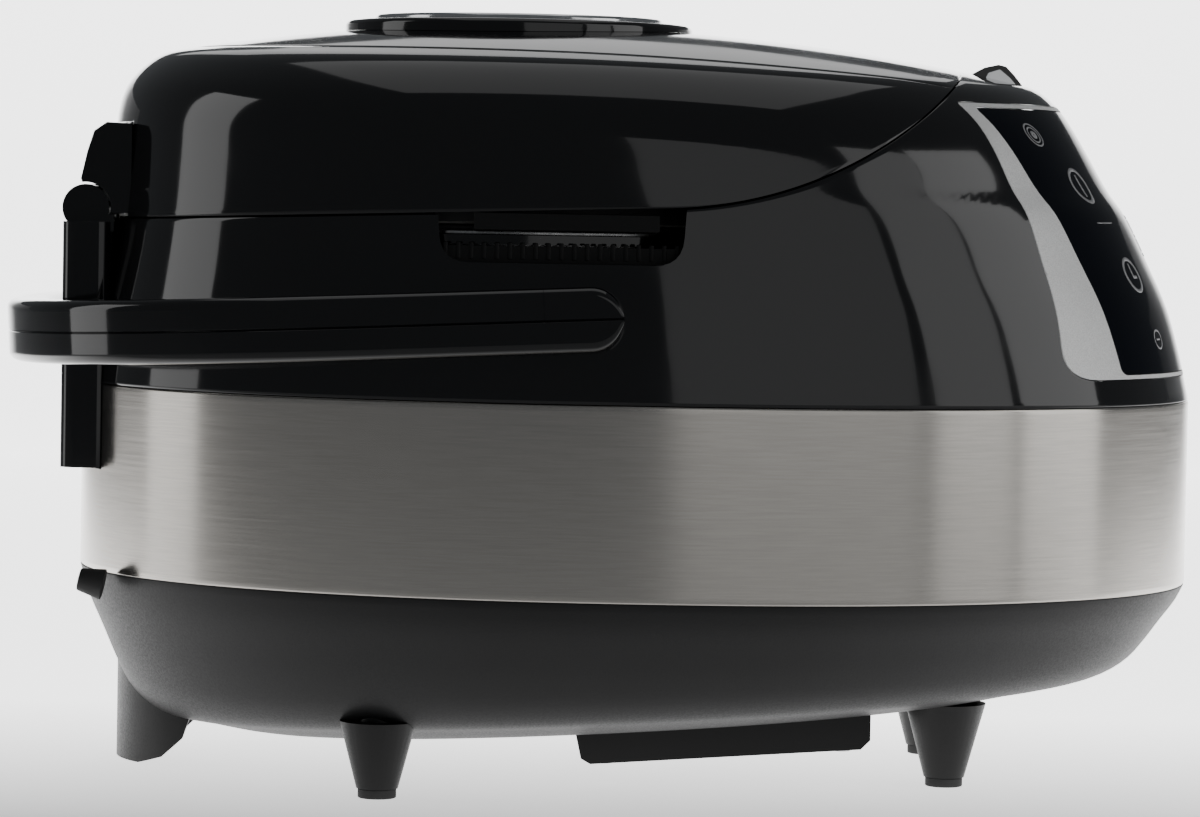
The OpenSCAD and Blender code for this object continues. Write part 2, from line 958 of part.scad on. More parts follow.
module vent_ring() {
    color("#d4d6d8")
        at_bowl(vent_top - 1.95)
            rotate_extrude($fn = 96)
                polygon([[44.7, 0], [44.7, 1.4], [45.4, 2.2], [46.6, 2.2], [47.4, 1.2], [47.4, 0]]);
}
module vent_valve() {
    color("#c8cacc")
        at_bowl(0) {
            translate([0, 0, 205])
                tube(cup_r - 4.4, 4, 2);
            translate([0, 0, 207])
                tube(6, 4, 12);
        }
}

// ---------- lid release ----------
module at_button_springs(z) {
    for (x = [-17, 17])
        translate([x, -126.5, z])
            children();
}
module release_button() {
    color("#1a1a1c")
        difference() {
            across(-button_half_w, button_half_w)
                polygon([
                    [button_rear, 219], [button_rear, 228.6], [-122.5, 231.6], [-127, 232.6],
                    [-129.5, 232], [-132.2, 229.2], [button_front, 224.4], [button_front, 219]
                ]);
            at_button_springs(217)
                cylinder(r = 4.6, h = 6.9);
            across(-16.2, 16.2)
                polygon([[-130.6, 233], [-130.3, 229.4], [-134.2, 224.9], [-138, 224], [-138, 233]]);
        }
}
module button_trim() {
    color("#e0e2e4")
        across(-16, 16)
            polygon([
                [-131, 228.65], [-131, 230.2], [-132.4, 228.8], [-135.7, 225.2],
                [-135.7, 224.6], [-134.2, 224.95]
            ]);
}
module button_spring() {
    color("#84868a")
        at_button_springs(216.1)
            for (i = [0:4])
                translate([0, 0, 1.77 * i])
                    rotate_extrude()
                        translate([3.4, 0])
                            circle(r = 0.6, $fn = 16);
}
latch_y = -122;
latch_z = 198;
module latch_hook() {
    color("#9fa1a4")
        difference() {
            union() {
                rod(4, -5, 5, latch_y, latch_z);
                across(-5, 5)
                    polygon([
                        [latch_y - 3, latch_z], [latch_y + 3, latch_z - 2], [-107, 205], [-105, 211],
                        [-103.7, 212], [-103.7, 214], [-109, 214.5], [-112.5, 207], [latch_y, latch_z + 4]
                    ]);
            }
            rod(1.55, -8, 8, latch_y, latch_z);
        }
}
module latch_bracket() {
    color("#8f9194")
        both_sides()
            difference() {
                across(5.5, 7.5)
                    translate([latch_y - 5, latch_z - 14])
                        square([10, 17]);
                rod(1.5, 0, 20, latch_y, latch_z);
            }
}
module latch_pin() {
    color("#b4b6b9")
        rod(1.5, -8.5, 8.5, latch_y, latch_z);
}

lower_housing();
bottom_cover();
base_screws();
front_feet();
rear_feet();
foot_pads();
rear_stand();
rear_bumpers();
steel_band();
upper_shell();
grip_liners();
panel_bezel();
control_glass();
display_module();
control_board();
power_board();
power_parts();
heat_shield();
side_heater();
rim_ring();
heating_plate();
heater_tube();
heater_posts();
thermal_fuse();
bowl();
bowl_grips();
hinge_housing();
hinge_pin();
hinge_springs();
condensate_cup();
power_inlet();
inlet_pins();
handle_pivots();
latch_bracket();
latch_pin();
lid_shell();
lid_top_panel();
hinge_cover();
lid_liner();
inner_lid_plate();
lid_gasket();
valve_cup();
lid_hinge_arms();
lid_screws();
lid_strike();
lid_sensor();
vent_cover();
vent_ring();
vent_valve();
carry_handle();
handle_cover();
release_button();
button_trim();
button_spring();
latch_hook();
bowl_sensor();
sensor_spring();
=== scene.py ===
"""Multicooker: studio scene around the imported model. Lengths are in metres, +Z up, panel towards -Y."""
import json
import math

import bmesh
import bpy
from mathutils import Matrix, Vector
from mathutils.bvhtree import BVHTree


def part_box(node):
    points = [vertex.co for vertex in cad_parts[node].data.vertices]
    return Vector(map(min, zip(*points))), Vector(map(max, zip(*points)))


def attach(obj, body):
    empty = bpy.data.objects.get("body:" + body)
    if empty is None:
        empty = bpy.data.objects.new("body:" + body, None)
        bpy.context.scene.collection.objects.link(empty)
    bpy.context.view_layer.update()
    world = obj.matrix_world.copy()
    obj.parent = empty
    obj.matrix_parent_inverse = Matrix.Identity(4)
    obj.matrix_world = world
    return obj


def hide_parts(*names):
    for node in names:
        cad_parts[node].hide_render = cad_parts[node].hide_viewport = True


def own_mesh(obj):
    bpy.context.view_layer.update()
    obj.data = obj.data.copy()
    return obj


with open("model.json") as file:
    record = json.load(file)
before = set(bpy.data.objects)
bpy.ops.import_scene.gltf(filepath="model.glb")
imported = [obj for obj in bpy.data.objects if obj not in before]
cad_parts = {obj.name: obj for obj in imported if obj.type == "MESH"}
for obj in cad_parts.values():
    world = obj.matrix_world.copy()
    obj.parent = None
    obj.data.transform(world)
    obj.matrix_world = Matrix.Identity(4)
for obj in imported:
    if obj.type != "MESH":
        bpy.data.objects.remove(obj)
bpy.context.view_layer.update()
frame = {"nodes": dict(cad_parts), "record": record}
nodes = frame["nodes"]
joints = {joint["name"]: joint for joint in frame["record"]["behaviour"]["joints"]}
MM = 0.001

# ---------------------------------------------------------------- driving sizes, from the frame
band_low_corner, band_high_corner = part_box("steel_band")
HALF_WIDTH = band_high_corner.x
FRONT = band_low_corner.y
REAR = band_high_corner.y
BAND_LOW = band_low_corner.z - 0.15 * MM
BAND_HIGH = band_high_corner.z + 0.15 * MM
PIVOT = Vector(joints["handle_swing"]["pos_m"])
bowl_low, bowl_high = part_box("bowl")
BOWL_Y = (bowl_low.y + bowl_high.y) / 2
VENT_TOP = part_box("vent_cover")[1].z

PLAN_POWER = 2.17
CROWN_TOP = 0.2428
CROWN_Y = 0.020
CROWN_BEND_Y = 0.66
CROWN_BEND_X = 1.09
# side inset, front inset, rear inset (mm) and height (m) up the wall
WALLS = [(0, 0, 0, BAND_HIGH), (0.6, 3.5, 1.4, 0.140), (1.8, 8, 4, 0.155), (3, 15, 6.5, 0.170),
         (3.9, 22.7, 8.4, 0.185)]
# side inset, front inset, rear inset (mm) and drop below the crown (mm) over the shoulder
CROWNS = [(5, 28, 9.7, 28), (6.5, 35.5, 10.7, 17), (9.5, 40.5, 13, 10), (14.5, 45, 17.5, 5),
          (22, 51, 24.5, 1.2), (32, 60, 36, 0.4), (64, 96, 70, 0), (98, 146, 108, 0)]
# share of the height above the underside, and inset (mm), down the lower housing
HULL = [(1, 0), (0.85, 2.5), (0.65, 7.5), (0.45, 12.5), (0.29, 17.5), (0.17, 25), (0.1, 38), (0.03, 52),
        (0, 62)]
SHOULDER_INSET = 34 * MM
SEAM_GAP = 0.3 * MM
UNDERSIDE_AT = (0.067, 0.0135)
UNDERSIDE_RISE = math.radians(4)
SEAM_SLOPE = math.radians(2.1)
SEAM_REAR = (0.180, 0.177)
ARC_Y = -0.020
ARC_R = 0.130


def crown(x, y):
    """Height of the domed top."""
    return CROWN_TOP - CROWN_BEND_Y * (y - CROWN_Y) ** 2 - CROWN_BEND_X * x * x


def underside(y):
    """Height of the housing's underside, which rises towards the front."""
    return UNDERSIDE_AT[1] + (UNDERSIDE_AT[0] - y) * math.tan(UNDERSIDE_RISE)


def seam(y):
    """Height of the lid seam at a place along the body."""
    flat = SEAM_REAR[1] + (SEAM_REAR[0] - y) * math.tan(SEAM_SLOPE)
    start = SEAM_REAR[1] + (SEAM_REAR[0] - ARC_Y) * math.tan(SEAM_SLOPE)
    centre_y = ARC_Y + ARC_R * math.sin(SEAM_SLOPE)
    centre_z = start + ARC_R * math.cos(SEAM_SLOPE)
    if y >= ARC_Y:
        return flat
    across = min(centre_y - y, ARC_R * 0.999)
    return centre_z - math.sqrt(ARC_R ** 2 - across ** 2)


def oval_point(angle, side, front, rear, power=PLAN_POWER):
    """A point of the body outline, moved in at the sides, the front and the rear."""
    c, s = math.cos(angle), math.sin(angle)
    near, back = FRONT + front, REAR - rear
    x = (HALF_WIDTH - side) * math.copysign(abs(c) ** (2 / power), c)
    y = (near + back) / 2 + (back - near) / 2 * math.copysign(abs(s) ** (2 / power), s)
    return x, y


def spline(points, steps):
    """A smooth curve through points, with steps pieces between each pair."""
    ends = [points[0] * 2 - points[1]] + points + [points[-1] * 2 - points[-2]]
    out = []
    for k in range(1, len(ends) - 2):
        a, b, c, d = ends[k - 1:k + 3]
        ta, tb, tc = (((q - p).length + 1e-9) ** 0.5 for p, q in ((a, b), (b, c), (c, d)))
        m1 = (b - a) / ta * tb / (ta + tb) + (c - b) / tb * ta / (ta + tb)
        m2 = (c - b) / tb * tc / (tb + tc) + (d - c) / tc * tb / (tb + tc)
        for i in range(steps):
            t = i / steps
            h00, h10 = 2 * t ** 3 - 3 * t ** 2 + 1, t ** 3 - 2 * t ** 2 + t
            h01, h11 = -2 * t ** 3 + 3 * t ** 2, t ** 3 - t ** 2
            out.append(b * h00 + m1 * tb * h10 + c * h01 + m2 * tb * h11)
    return out + [points[-1].copy()]


COLUMNS = 240
SPLINE_STEPS = 6
WALL_ROWS, SIDE_ROWS, TOP_ROWS, HULL_ROWS = 46, 36, 44, 56
COLUMN_ANGLES = [2 * math.pi * i / COLUMNS for i in range(COLUMNS)]


def upper_column(angle):
    """The outer surface of the upper body, from the band up to the middle of the crown."""
    points = []
    for side, front, rear, height in WALLS:
        x, y = oval_point(angle, side * MM, front * MM, rear * MM)
        points.append(Vector((x, y, height)))
    for side, front, rear, drop in CROWNS:
        x, y = oval_point(angle, side * MM, front * MM, rear * MM)
        points.append(Vector((x, y, crown(x, y) - drop * MM)))
    points.append(Vector((0, CROWN_Y, CROWN_TOP)))
    return spline(points, SPLINE_STEPS)


def resample(line, count):
    """The same line with count evenly spread points."""
    lengths = [0]
    for a, b in zip(line, line[1:]):
        lengths.append(lengths[-1] + (b - a).length)
    total = lengths[-1]
    out, k = [], 0
    for i in range(count):
        want = total * i / (count - 1)
        while k < len(line) - 2 and lengths[k + 1] < want:
            k += 1
        span = lengths[k + 1] - lengths[k]
        out.append(line[k].lerp(line[k + 1], 0 if span < 1e-12 else min(1, (want - lengths[k]) / span)))
    return out


def split_line(line, level):
    """Cuts a line where level(point) first turns positive; returns both parts."""
    for k in range(len(line) - 1):
        a, b = level(line[k]), level(line[k + 1])
        if a <= 0 < b:
            cut = line[k].lerp(line[k + 1], a / (a - b))
            return line[:k + 1] + [cut], [cut] + line[k + 1:]
    return line, [line[-1], line[-1]]


# ---------------------------------------------------------------- mesh helpers
def new_piece(name, mesh):
    piece = bpy.data.objects.new(name, mesh)
    bpy.context.scene.collection.objects.link(piece)
    return piece


def smooth_by_angle(mesh, degrees=32):
    for face in mesh.polygons:
        face.use_smooth = True
    mesh.set_sharp_from_angle(angle=math.radians(degrees))


def finish_mesh(name, bm, merge=0.00002, degrees=32, recalc=True):
    bmesh.ops.remove_doubles(bm, verts=bm.verts, dist=merge)
    bmesh.ops.dissolve_degenerate(bm, edges=bm.edges, dist=1e-6)
    bmesh.ops.delete(bm, geom=[e for e in bm.edges if not e.link_faces], context="EDGES")
    bmesh.ops.delete(bm, geom=[v for v in bm.verts if not v.link_faces], context="VERTS")
    if recalc:
        bmesh.ops.recalc_face_normals(bm, faces=bm.faces)
    mesh = bpy.data.meshes.new(name)
    bm.to_mesh(mesh)
    bm.free()
    smooth_by_angle(mesh, degrees)
    return new_piece(name, mesh)


def grid(name, lines, wrap=False, recalc=False):
    """Faces between the columns of a piece. Each line is one column; wrap closes the lines on themselves."""
    bm = bmesh.new()
    rows = [[bm.verts.new(p) for p in line] for line in lines]
    for i, a in enumerate(rows):
        b = rows[(i + 1) % len(rows)]
        for k in range(len(a) if wrap else len(a) - 1):
            m = (k + 1) % len(a)
            bm.faces.new((a[k], b[k], b[m], a[m]))
    return finish_mesh(name, bm, recalc=recalc)


def apply_modifiers(piece):
    depsgraph = bpy.context.evaluated_depsgraph_get()
    mesh = bpy.data.meshes.new_from_object(piece.evaluated_get(depsgraph))
    piece.modifiers.clear()
    old = piece.data
    piece.data = mesh
    mesh.name = piece.name
    bpy.data.meshes.remove(old)
    return piece


def add_bevel(piece, width, degrees):
    edge = piece.modifiers.new("edge", "BEVEL")
    edge.width = width
    edge.segments = 2
    edge.limit_method = "ANGLE"
    edge.angle_limit = math.radians(degrees)


def thicken(piece, wall, round_edge=0.0005):
    solid = piece.modifiers.new("wall", "SOLIDIFY")
    solid.thickness = wall
    solid.offset = -1
    solid.use_even_offset = True
    solid.use_rim = True
    add_bevel(piece, round_edge, 50)
    return apply_modifiers(piece)


def cut(piece, tool, operation="DIFFERENCE"):
    knife = piece.modifiers.new("cut", "BOOLEAN")
    knife.object = tool
    knife.operation = operation
    knife.solver = "EXACT"
    apply_modifiers(piece)
    bpy.data.objects.remove(tool, do_unlink=True)
    smooth_by_angle(piece.data)
    return piece


def block(low, high, name="tool"):
    bm = bmesh.new()
    bmesh.ops.create_cube(bm, size=1)
    for v in bm.verts:
        v.co = Vector([low[i] if v.co[i] < 0 else high[i] for i in range(3)])
    return finish_mesh(name, bm)


def prism(name, outline, axis, start, end):
    """Extrudes an outline along X (outline in Y, Z) or along Y (outline in X, Z)."""
    bm = bmesh.new()

    def place(p, along):
        return (along, p[0], p[1]) if axis == "X" else (p[0], along, p[1])

    low = [bm.verts.new(place(p, start)) for p in outline]
    high = [bm.verts.new(place(p, end)) for p in outline]
    bm.faces.new(low)
    bm.faces.new(list(reversed(high)))
    for i in range(len(outline)):
        j = (i + 1) % len(outline)
        bm.faces.new((low[i], low[j], high[j], high[i]))
    return finish_mesh(name, bm)


def rounded(corners, radius, steps=6):
    """A polygon with its corners rounded; radius is one number or one for each corner."""
    out = []
    count = len(corners)
    for i in range(count):
        here = Vector(corners[i])
        r = radius[i] if isinstance(radius, (list, tuple)) else radius
        before = (Vector(corners[i - 1]) - here)
        after = (Vector(corners[(i + 1) % count]) - here)
        if r <= 0:
            out.append(tuple(here))
            continue
        angle = before.angle(after)
        reach = min(r / math.tan(angle / 2), before.length * 0.48, after.length * 0.48)
        a, b = here + before.normalized() * reach, here + after.normalized() * reach
        for k in range(steps + 1):
            t = k / steps
            out.append(tuple(a.lerp(here, t).lerp(here.lerp(b, t), t)))
    return out


def refined(node, bevel):
    """A finished copy of a CAD node: merged, its flats joined and its edges rounded."""
    bm = bmesh.new()
    bm.from_mesh(nodes[node].data)
    bmesh.ops.remove_doubles(bm, verts=bm.verts, dist=0.00001)
    bmesh.ops.dissolve_limit(bm, angle_limit=math.radians(1.0), verts=bm.verts, edges=bm.edges)
    mesh = bpy.data.meshes.new(node + "_finished")
    bm.to_mesh(mesh)
    bm.free()
    piece = new_piece(node + "_finished", mesh)
    if bevel:
        add_bevel(piece, bevel, 32)
        apply_modifiers(piece)
    smooth_by_angle(piece.data, 35)
    return piece


def lathe(name, profile, centre, steps=128, degrees=32):
    """Turns a closed profile of radius and height about a vertical axis."""
    bm = bmesh.new()
    rings = []
    for i in range(steps):
        a = 2 * math.pi * i / steps
        rings.append([bm.verts.new((centre[0] + r * math.cos(a), centre[1] + r * math.sin(a), z))
                      for r, z in profile])
    for i in range(steps):
        a, b = rings[i], rings[(i + 1) % steps]
        for k in range(len(profile)):
            m = (k + 1) % len(profile)
            bm.faces.new((a[k], b[k], b[m], a[m]))
    return finish_mesh(name, bm, degrees=degrees)


def settle(piece, body, stands_for, material):
    """Says which body a piece moves with, which nodes it stands for, and its finish."""
    piece.data.materials.clear()
    piece.data.materials.append(material)
    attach(piece, body)
    if stands_for:
        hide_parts(*stands_for)
    return piece


# ---------------------------------------------------------------- materials
def material(name, colour, roughness, metallic=0.0, coat=0.0, coat_roughness=0.05, specular=0.5):
    mat = bpy.data.materials.new(name)
    mat.use_nodes = True
    shader = mat.node_tree.nodes["Principled BSDF"]
    shader.inputs["Base Color"].default_value = (*colour, 1)
    shader.inputs["Roughness"].default_value = roughness
    shader.inputs["Metallic"].default_value = metallic
    shader.inputs["IOR"].default_value = 1.5
    shader.inputs["Specular IOR Level"].default_value = specular
    shader.inputs["Coat Weight"].default_value = coat
    shader.inputs["Coat Roughness"].default_value = coat_roughness
    return mat


def add_noise(mat, scale, stretch=(1, 1, 1), detail=4.0):
    tree = mat.node_tree
    coords = tree.nodes.new("ShaderNodeTexCoord")
    mapping = tree.nodes.new("ShaderNodeMapping")
    mapping.inputs["Scale"].default_value = stretch
    noise = tree.nodes.new("ShaderNodeTexNoise")
    noise.inputs["Scale"].default_value = scale
    noise.inputs["Detail"].default_value = detail
    tree.links.new(coords.outputs["Object"], mapping.inputs["Vector"])
    tree.links.new(mapping.outputs["Vector"], noise.inputs["Vector"])
    return noise


def vary_roughness(mat, noise, low, high, start=0.35, end=0.65):
    tree = mat.node_tree
    span = tree.nodes.new("ShaderNodeMapRange")
    span.inputs["From Min"].default_value = start
    span.inputs["From Max"].default_value = end
    span.inputs["To Min"].default_value = low
    span.inputs["To Max"].default_value = high
    tree.links.new(noise.outputs["Fac"], span.inputs["Value"])
    tree.links.new(span.outputs["Result"], tree.nodes["Principled BSDF"].inputs["Roughness"])


def vary_colour(mat, noise, dark, light, start=0.35, end=0.65):
    tree = mat.node_tree
    ramp = tree.nodes.new("ShaderNodeValToRGB")
    ramp.color_ramp.elements[0].position = start
    ramp.color_ramp.elements[0].color = (*dark, 1)
    ramp.color_ramp.elements[1].position = end
    ramp.color_ramp.elements[1].color = (*light, 1)
    tree.links.new(noise.outputs["Fac"], ramp.inputs["Fac"])
    tree.links.new(ramp.outputs["Color"], tree.nodes["Principled BSDF"].inputs["Base Color"])


def add_bump(mat, noise, strength, distance):
    tree = mat.node_tree
    bump = tree.nodes.new("ShaderNodeBump")
    bump.inputs["Strength"].default_value = strength
    bump.inputs["Distance"].default_value = distance
    tree.links.new(noise.outputs["Fac"], bump.inputs["Height"])
    tree.links.new(bump.outputs["Normal"], tree.nodes["Principled BSDF"].inputs["Normal"])


def polished_black(name, base=0.006, roughness=0.07):
    """Piano-black moulded plastic: a faint moulding ripple and light polishing haze."""
    mat = material(name, (base, base, base * 1.12), roughness, coat=0.4, coat_roughness=0.03)
    haze = add_noise(mat, 26, detail=5)
    vary_roughness(mat, haze, roughness * 0.75, roughness * 1.5)
    ripple = add_noise(mat, 55, detail=1)
    add_bump(mat, ripple, 0.05, 0.0006)
    return mat


def moulded_matte(name, base, roughness=0.46, grain=0.22):
    """Spark-eroded matte plastic with a fine even grain and slight tonal drift."""
    mat = material(name, (base, base, base * 1.03), roughness, specular=0.28)
    drift = add_noise(mat, 14, detail=3)
    vary_colour(mat, drift, (base * 0.9,) * 3, (base * 1.1, base * 1.1, base * 1.13))
    fine = add_noise(mat, 1500, detail=2)
    vary_roughness(mat, fine, roughness - 0.06, roughness + 0.08)
    add_bump(mat, fine, grain, 0.00012)
    return mat


def brushed_steel(name, tint, roughness=0.3, along=(24, 24, 4200)):
    """Stainless sheet brushed along its length, with long fine scratches."""
    mat = material(name, tint, roughness, metallic=1.0)
    tree = mat.node_tree
    scratches = add_noise(mat, 1.0, along, detail=5)
    vary_roughness(mat, scratches, roughness - 0.03, roughness + 0.04)
    flecks = add_noise(mat, 1.0, (along[0] * 3, along[1] * 3, along[2] * 0.55), detail=6)
    dark, light = tuple(c * 0.95 for c in tint), tuple(min(1, c * 1.03) for c in tint)
    vary_colour(mat, flecks, dark, light, 0.38, 0.62)
    add_bump(mat, scratches, 0.06, 0.00003)
    shader = tree.nodes["Principled BSDF"]
    shader.inputs["Anisotropic"].default_value = 0.75
    shader.inputs["Anisotropic Rotation"].default_value = 0.25
    tangent = tree.nodes.new("ShaderNodeTangent")
    tangent.direction_type = "RADIAL"
    tangent.axis = "Z"
    tree.links.new(tangent.outputs["Tangent"], shader.inputs["Tangent"])
    return mat


def machined(name, tint, roughness=0.28):
    """Plain metal with faint mottling and handling marks."""
    mat = material(name, tint, roughness, metallic=1.0)
    mottle = add_noise(mat, 90, detail=6)
    vary_roughness(mat, mottle, roughness - 0.08, roughness + 0.12)
    vary_colour(mat, mottle, tuple(c * 0.86 for c in tint), tint)
    fine = add_noise(mat, 900, detail=3)
    add_bump(mat, fine, 0.1, 0.00005)
    return mat


def painted_reflection_silver(name, tint):
    """Pale silver with fine metal flake over plastic, as a painted reflection: the colour stands in for the
    light that the panel's glossy black bevel reflects.
    """
    mat = material(name, tint, 0.45, metallic=0.2)
    flake = add_noise(mat, 2600, detail=2)
    vary_colour(mat, flake, tuple(c * 0.88 for c in tint), tuple(min(1, c * 1.1) for c in tint))
    vary_roughness(mat, flake, 0.38, 0.5)
    add_bump(mat, flake, 0.06, 0.00003)
    return mat


def soft_rubber(name, tint, roughness=0.7):
    mat = material(name, tint, roughness)
    dust = add_noise(mat, 240, detail=6)
    vary_colour(mat, dust, tint, tuple(c * 1.25 + 0.004 for c in tint))
    vary_roughness(mat, dust, roughness - 0.08, roughness + 0.1)
    add_bump(mat, dust, 0.18, 0.0001)
    return mat


def plain_part(name, tint, roughness=0.5):
    """Inner mouldings, boards and ceramics."""
    mat = material(name, tint, roughness)
    cloud = add_noise(mat, 120, detail=5)
    vary_colour(mat, cloud, tuple(c * 0.85 for c in tint), tuple(min(1, c * 1.12) for c in tint))
    vary_roughness(mat, cloud, roughness - 0.08, roughness + 0.08)
    add_bump(mat, cloud, 0.12, 0.00008)
    return mat


FINISH = {
    "housing_matte": moulded_matte("housing_matte", 0.017, 0.46),
    "shell_gloss": polished_black("shell_gloss"),
    "trim_black": moulded_matte("trim_black", 0.006, 0.4, 0.15),
    "foot_rubber": soft_rubber("foot_rubber", (0.016, 0.016, 0.016)),
    "band_steel": brushed_steel("band_steel", (0.62, 0.59, 0.548), 0.22),
    # The panel bezel's pale silver is a painted reflection of the lamps on a frame that is glossy black.
    "panel_silver": painted_reflection_silver("panel_silver", (0.9, 0.9, 0.89)),
    "panel_glass": material("panel_glass", (0.003, 0.004, 0.007), 0.08, specular=0.12),
    "screw_steel": machined("screw_steel", (0.55, 0.55, 0.56)),
    "pin_steel": machined("pin_steel", (0.62, 0.62, 0.63), 0.2),
    "spring_steel": machined("spring_steel", (0.42, 0.42, 0.43), 0.3),
    "sheet_steel": brushed_steel("sheet_steel", (0.6, 0.6, 0.6), 0.28, (400, 400, 30)),
    "cast_aluminium": machined("cast_aluminium", (0.6, 0.61, 0.62), 0.42),
    "sheet_aluminium": machined("sheet_aluminium", (0.74, 0.75, 0.76), 0.26),
    "bowl_coating": moulded_matte("bowl_coating", 0.030, 0.34, 0.3),
    "heater_metal": machined("heater_metal", (0.2, 0.19, 0.18), 0.55),
    "mica_heater": plain_part("mica_heater", (0.62, 0.55, 0.42)),
    "board_green": plain_part("board_green", (0.02, 0.15, 0.06), 0.35),
    "board_tan": plain_part("board_tan", (0.42, 0.29, 0.12), 0.5),
    "part_blue": plain_part("part_blue", (0.04, 0.1, 0.33), 0.4),
    "display_dark": plain_part("display_dark", (0.02, 0.024, 0.03), 0.15),
    "silicone": plain_part("silicone", (0.74, 0.72, 0.67), 0.42),
    "liner_grey": moulded_matte("liner_grey", 0.05, 0.4, 0.2),
    "chrome_trim": machined("chrome_trim", (0.86, 0.87, 0.88), 0.09),
    "brass_pins": machined("brass_pins", (0.72, 0.6, 0.36), 0.25),
    "fuse_white": plain_part("fuse_white", (0.76, 0.72, 0.64)),
}
vary_roughness(FINISH["panel_glass"], add_noise(FINISH["panel_glass"], 40, detail=5), 0.06, 0.11)
ICON = material("icon_print", (0.32, 0.32, 0.33), 0.4)
vary_colour(ICON, add_noise(ICON, 900), (0.28, 0.28, 0.29), (0.36, 0.36, 0.37))
SEGMENT = material("display_segment", (0.10, 0.11, 0.12), 0.3)
vary_colour(SEGMENT, add_noise(SEGMENT, 700), (0.08, 0.09, 0.1), (0.13, 0.14, 0.15))


# ---------------------------------------------------------------- outer shells
PANEL_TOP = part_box("panel_bezel")[1].z
PANEL_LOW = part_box("panel_bezel")[0].z
PANEL_HALF = (85 * MM, 96 * MM)
GLASS_HALF = (83 * MM, 78 * MM)
WALL = 2.8 * MM
NOTCH_GAP = 0.4 * MM
BUTTON_SIDE_GAP, BUTTON_FRONT_GAP, BUTTON_REAR_GAP = 0.4 * MM, 0.6 * MM, 0.8 * MM
WELL_FLOOR, WELL_UNDER = 0.2155, 0.2140
POCKET_R = 118.5 * MM
DECK_Z = 175.5 * MM
DECK_HOLE_R = 116 * MM
GRIP_OUTLINE = [(-26 * MM, 0.2), (-24 * MM, 0.1672), (49 * MM, 0.1672), (51 * MM, 0.2)]


def inside_shoulder(p, inset):
    """Positive inside the outline of the lid's top panel."""
    middle, half = (FRONT + REAR) / 2, (REAR - FRONT) / 2 - inset
    side = HALF_WIDTH - inset
    return 1 - (abs(p.x) / side) ** PLAN_POWER - (abs(p.y - middle) / half) ** PLAN_POWER


def shell_lines(columns):
    """The columns cut at the lid seam and at the edge of the lid's top panel."""
    low, side, top = [], [], []
    for line in columns:
        below, _ = split_line(line, lambda p: p.z - (seam(p.y) - SEAM_GAP))
        _, above = split_line(line, lambda p: p.z - (seam(p.y) + SEAM_GAP))
        low.append(resample(below, WALL_ROWS))
        if inside_shoulder(above[0], SHOULDER_INSET) > 0:
            side.append([above[0]] * SIDE_ROWS)
            top.append(resample(above, TOP_ROWS))
            continue
        rise, _ = split_line(above, lambda p: inside_shoulder(p, SHOULDER_INSET - 0.35 * MM))
        _, flat = split_line(above, lambda p: inside_shoulder(p, SHOULDER_INSET + 0.05 * MM))
        side.append(resample(rise, SIDE_ROWS))
        top.append(resample(flat, TOP_ROWS))
    return low, side, top


def deck_lines(low_lines):
    """Closed sections of the shell's top edge, from the outer wall in to the bowl pocket and down its side."""
    out = []
    axis = Vector((0, BOWL_Y, 0))
    for line in low_lines:
        edge = line[-1]
        reach = Vector((edge.x, edge.y, 0)) - axis
        way = reach.normalized()
        outer, inner = reach.length - 2.2 * MM, POCKET_R
        section = []
        for i in range(13):
            p = axis + way * (outer + (inner + 0.6 * MM - outer) * i / 12)
            lift = 0.35 * MM if i else -SEAM_GAP - 0.15 * MM
            section.append(Vector((p.x, p.y, seam(p.y) + lift)))
        rim = axis + way * inner
        rim_z = seam(rim.y) - SEAM_GAP - 0.75 * MM
        for r, z in ((inner, rim_z), (inner, DECK_Z), (DECK_HOLE_R, DECK_Z), (DECK_HOLE_R, DECK_Z - WALL),
                     (inner + 2.5 * MM, DECK_Z - WALL), (inner + 2.5 * MM, rim_z - WALL)):
            p = axis + way * r
            section.append(Vector((p.x, p.y, z)))
        under = axis + way * (outer - 0.2 * MM)
        section.append(Vector((under.x, under.y, seam(under.y) - SEAM_GAP - WALL)))
        out.append(section)
    return out


def panel_prism(half, grow, corner=9 * MM):
    top, low = PANEL_TOP + grow, PANEL_LOW - grow
    upper, lower = half[0] + grow, half[1] + grow
    outline = rounded([(-upper, top), (-lower, low), (lower, low), (upper, top)],
                      [2 * MM, corner, corner, 2 * MM])
    return prism("panel_tool", outline, "Y", -0.3, -0.1)


def weigh_normals(piece):
    even = piece.modifiers.new("normals", "WEIGHTED_NORMAL")
    even.keep_sharp = True
    return apply_modifiers(piece)


def duplicate(piece, name):
    return new_piece(name, piece.data.copy())


def join(name, pieces):
    """One object from several, each keeping its own shape."""
    bm = bmesh.new()
    for piece in pieces:
        bm.from_mesh(piece.data)
    mesh = bpy.data.meshes.new(name)
    bm.to_mesh(mesh)
    bm.free()
    for piece in pieces:
        bpy.data.objects.remove(piece, do_unlink=True)
    smooth_by_angle(mesh)
    return new_piece(name, mesh)


def round_edges(piece, width=0.0004):
    add_bevel(piece, width, 40)
    apply_modifiers(piece)
    smooth_by_angle(piece.data)
    return weigh_normals(piece)


columns = [upper_column(a) for a in COLUMN_ANGLES]
low_lines, side_lines, top_lines = shell_lines(columns)
surface = BVHTree.FromPolygons(
    [p for line in columns for p in line],
    [(i * len(columns[0]) + k, (i + 1) % COLUMNS * len(columns[0]) + k,
      (i + 1) % COLUMNS * len(columns[0]) + k + 1, i * len(columns[0]) + k + 1)
     for i in range(COLUMNS) for k in range(len(columns[0]) - 1)])


def hinge_notch():
    low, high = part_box("hinge_housing")
    return block((low.x - NOTCH_GAP, low.y - NOTCH_GAP, low.z - NOTCH_GAP), (high.x + NOTCH_GAP, 0.25, 0.205))


def grip_prism(side, reach):
    outline = rounded(GRIP_OUTLINE, [0, 9 * MM, 9 * MM, 0])
    return prism("grip_tool", outline, "X", side * reach, side * 0.16)


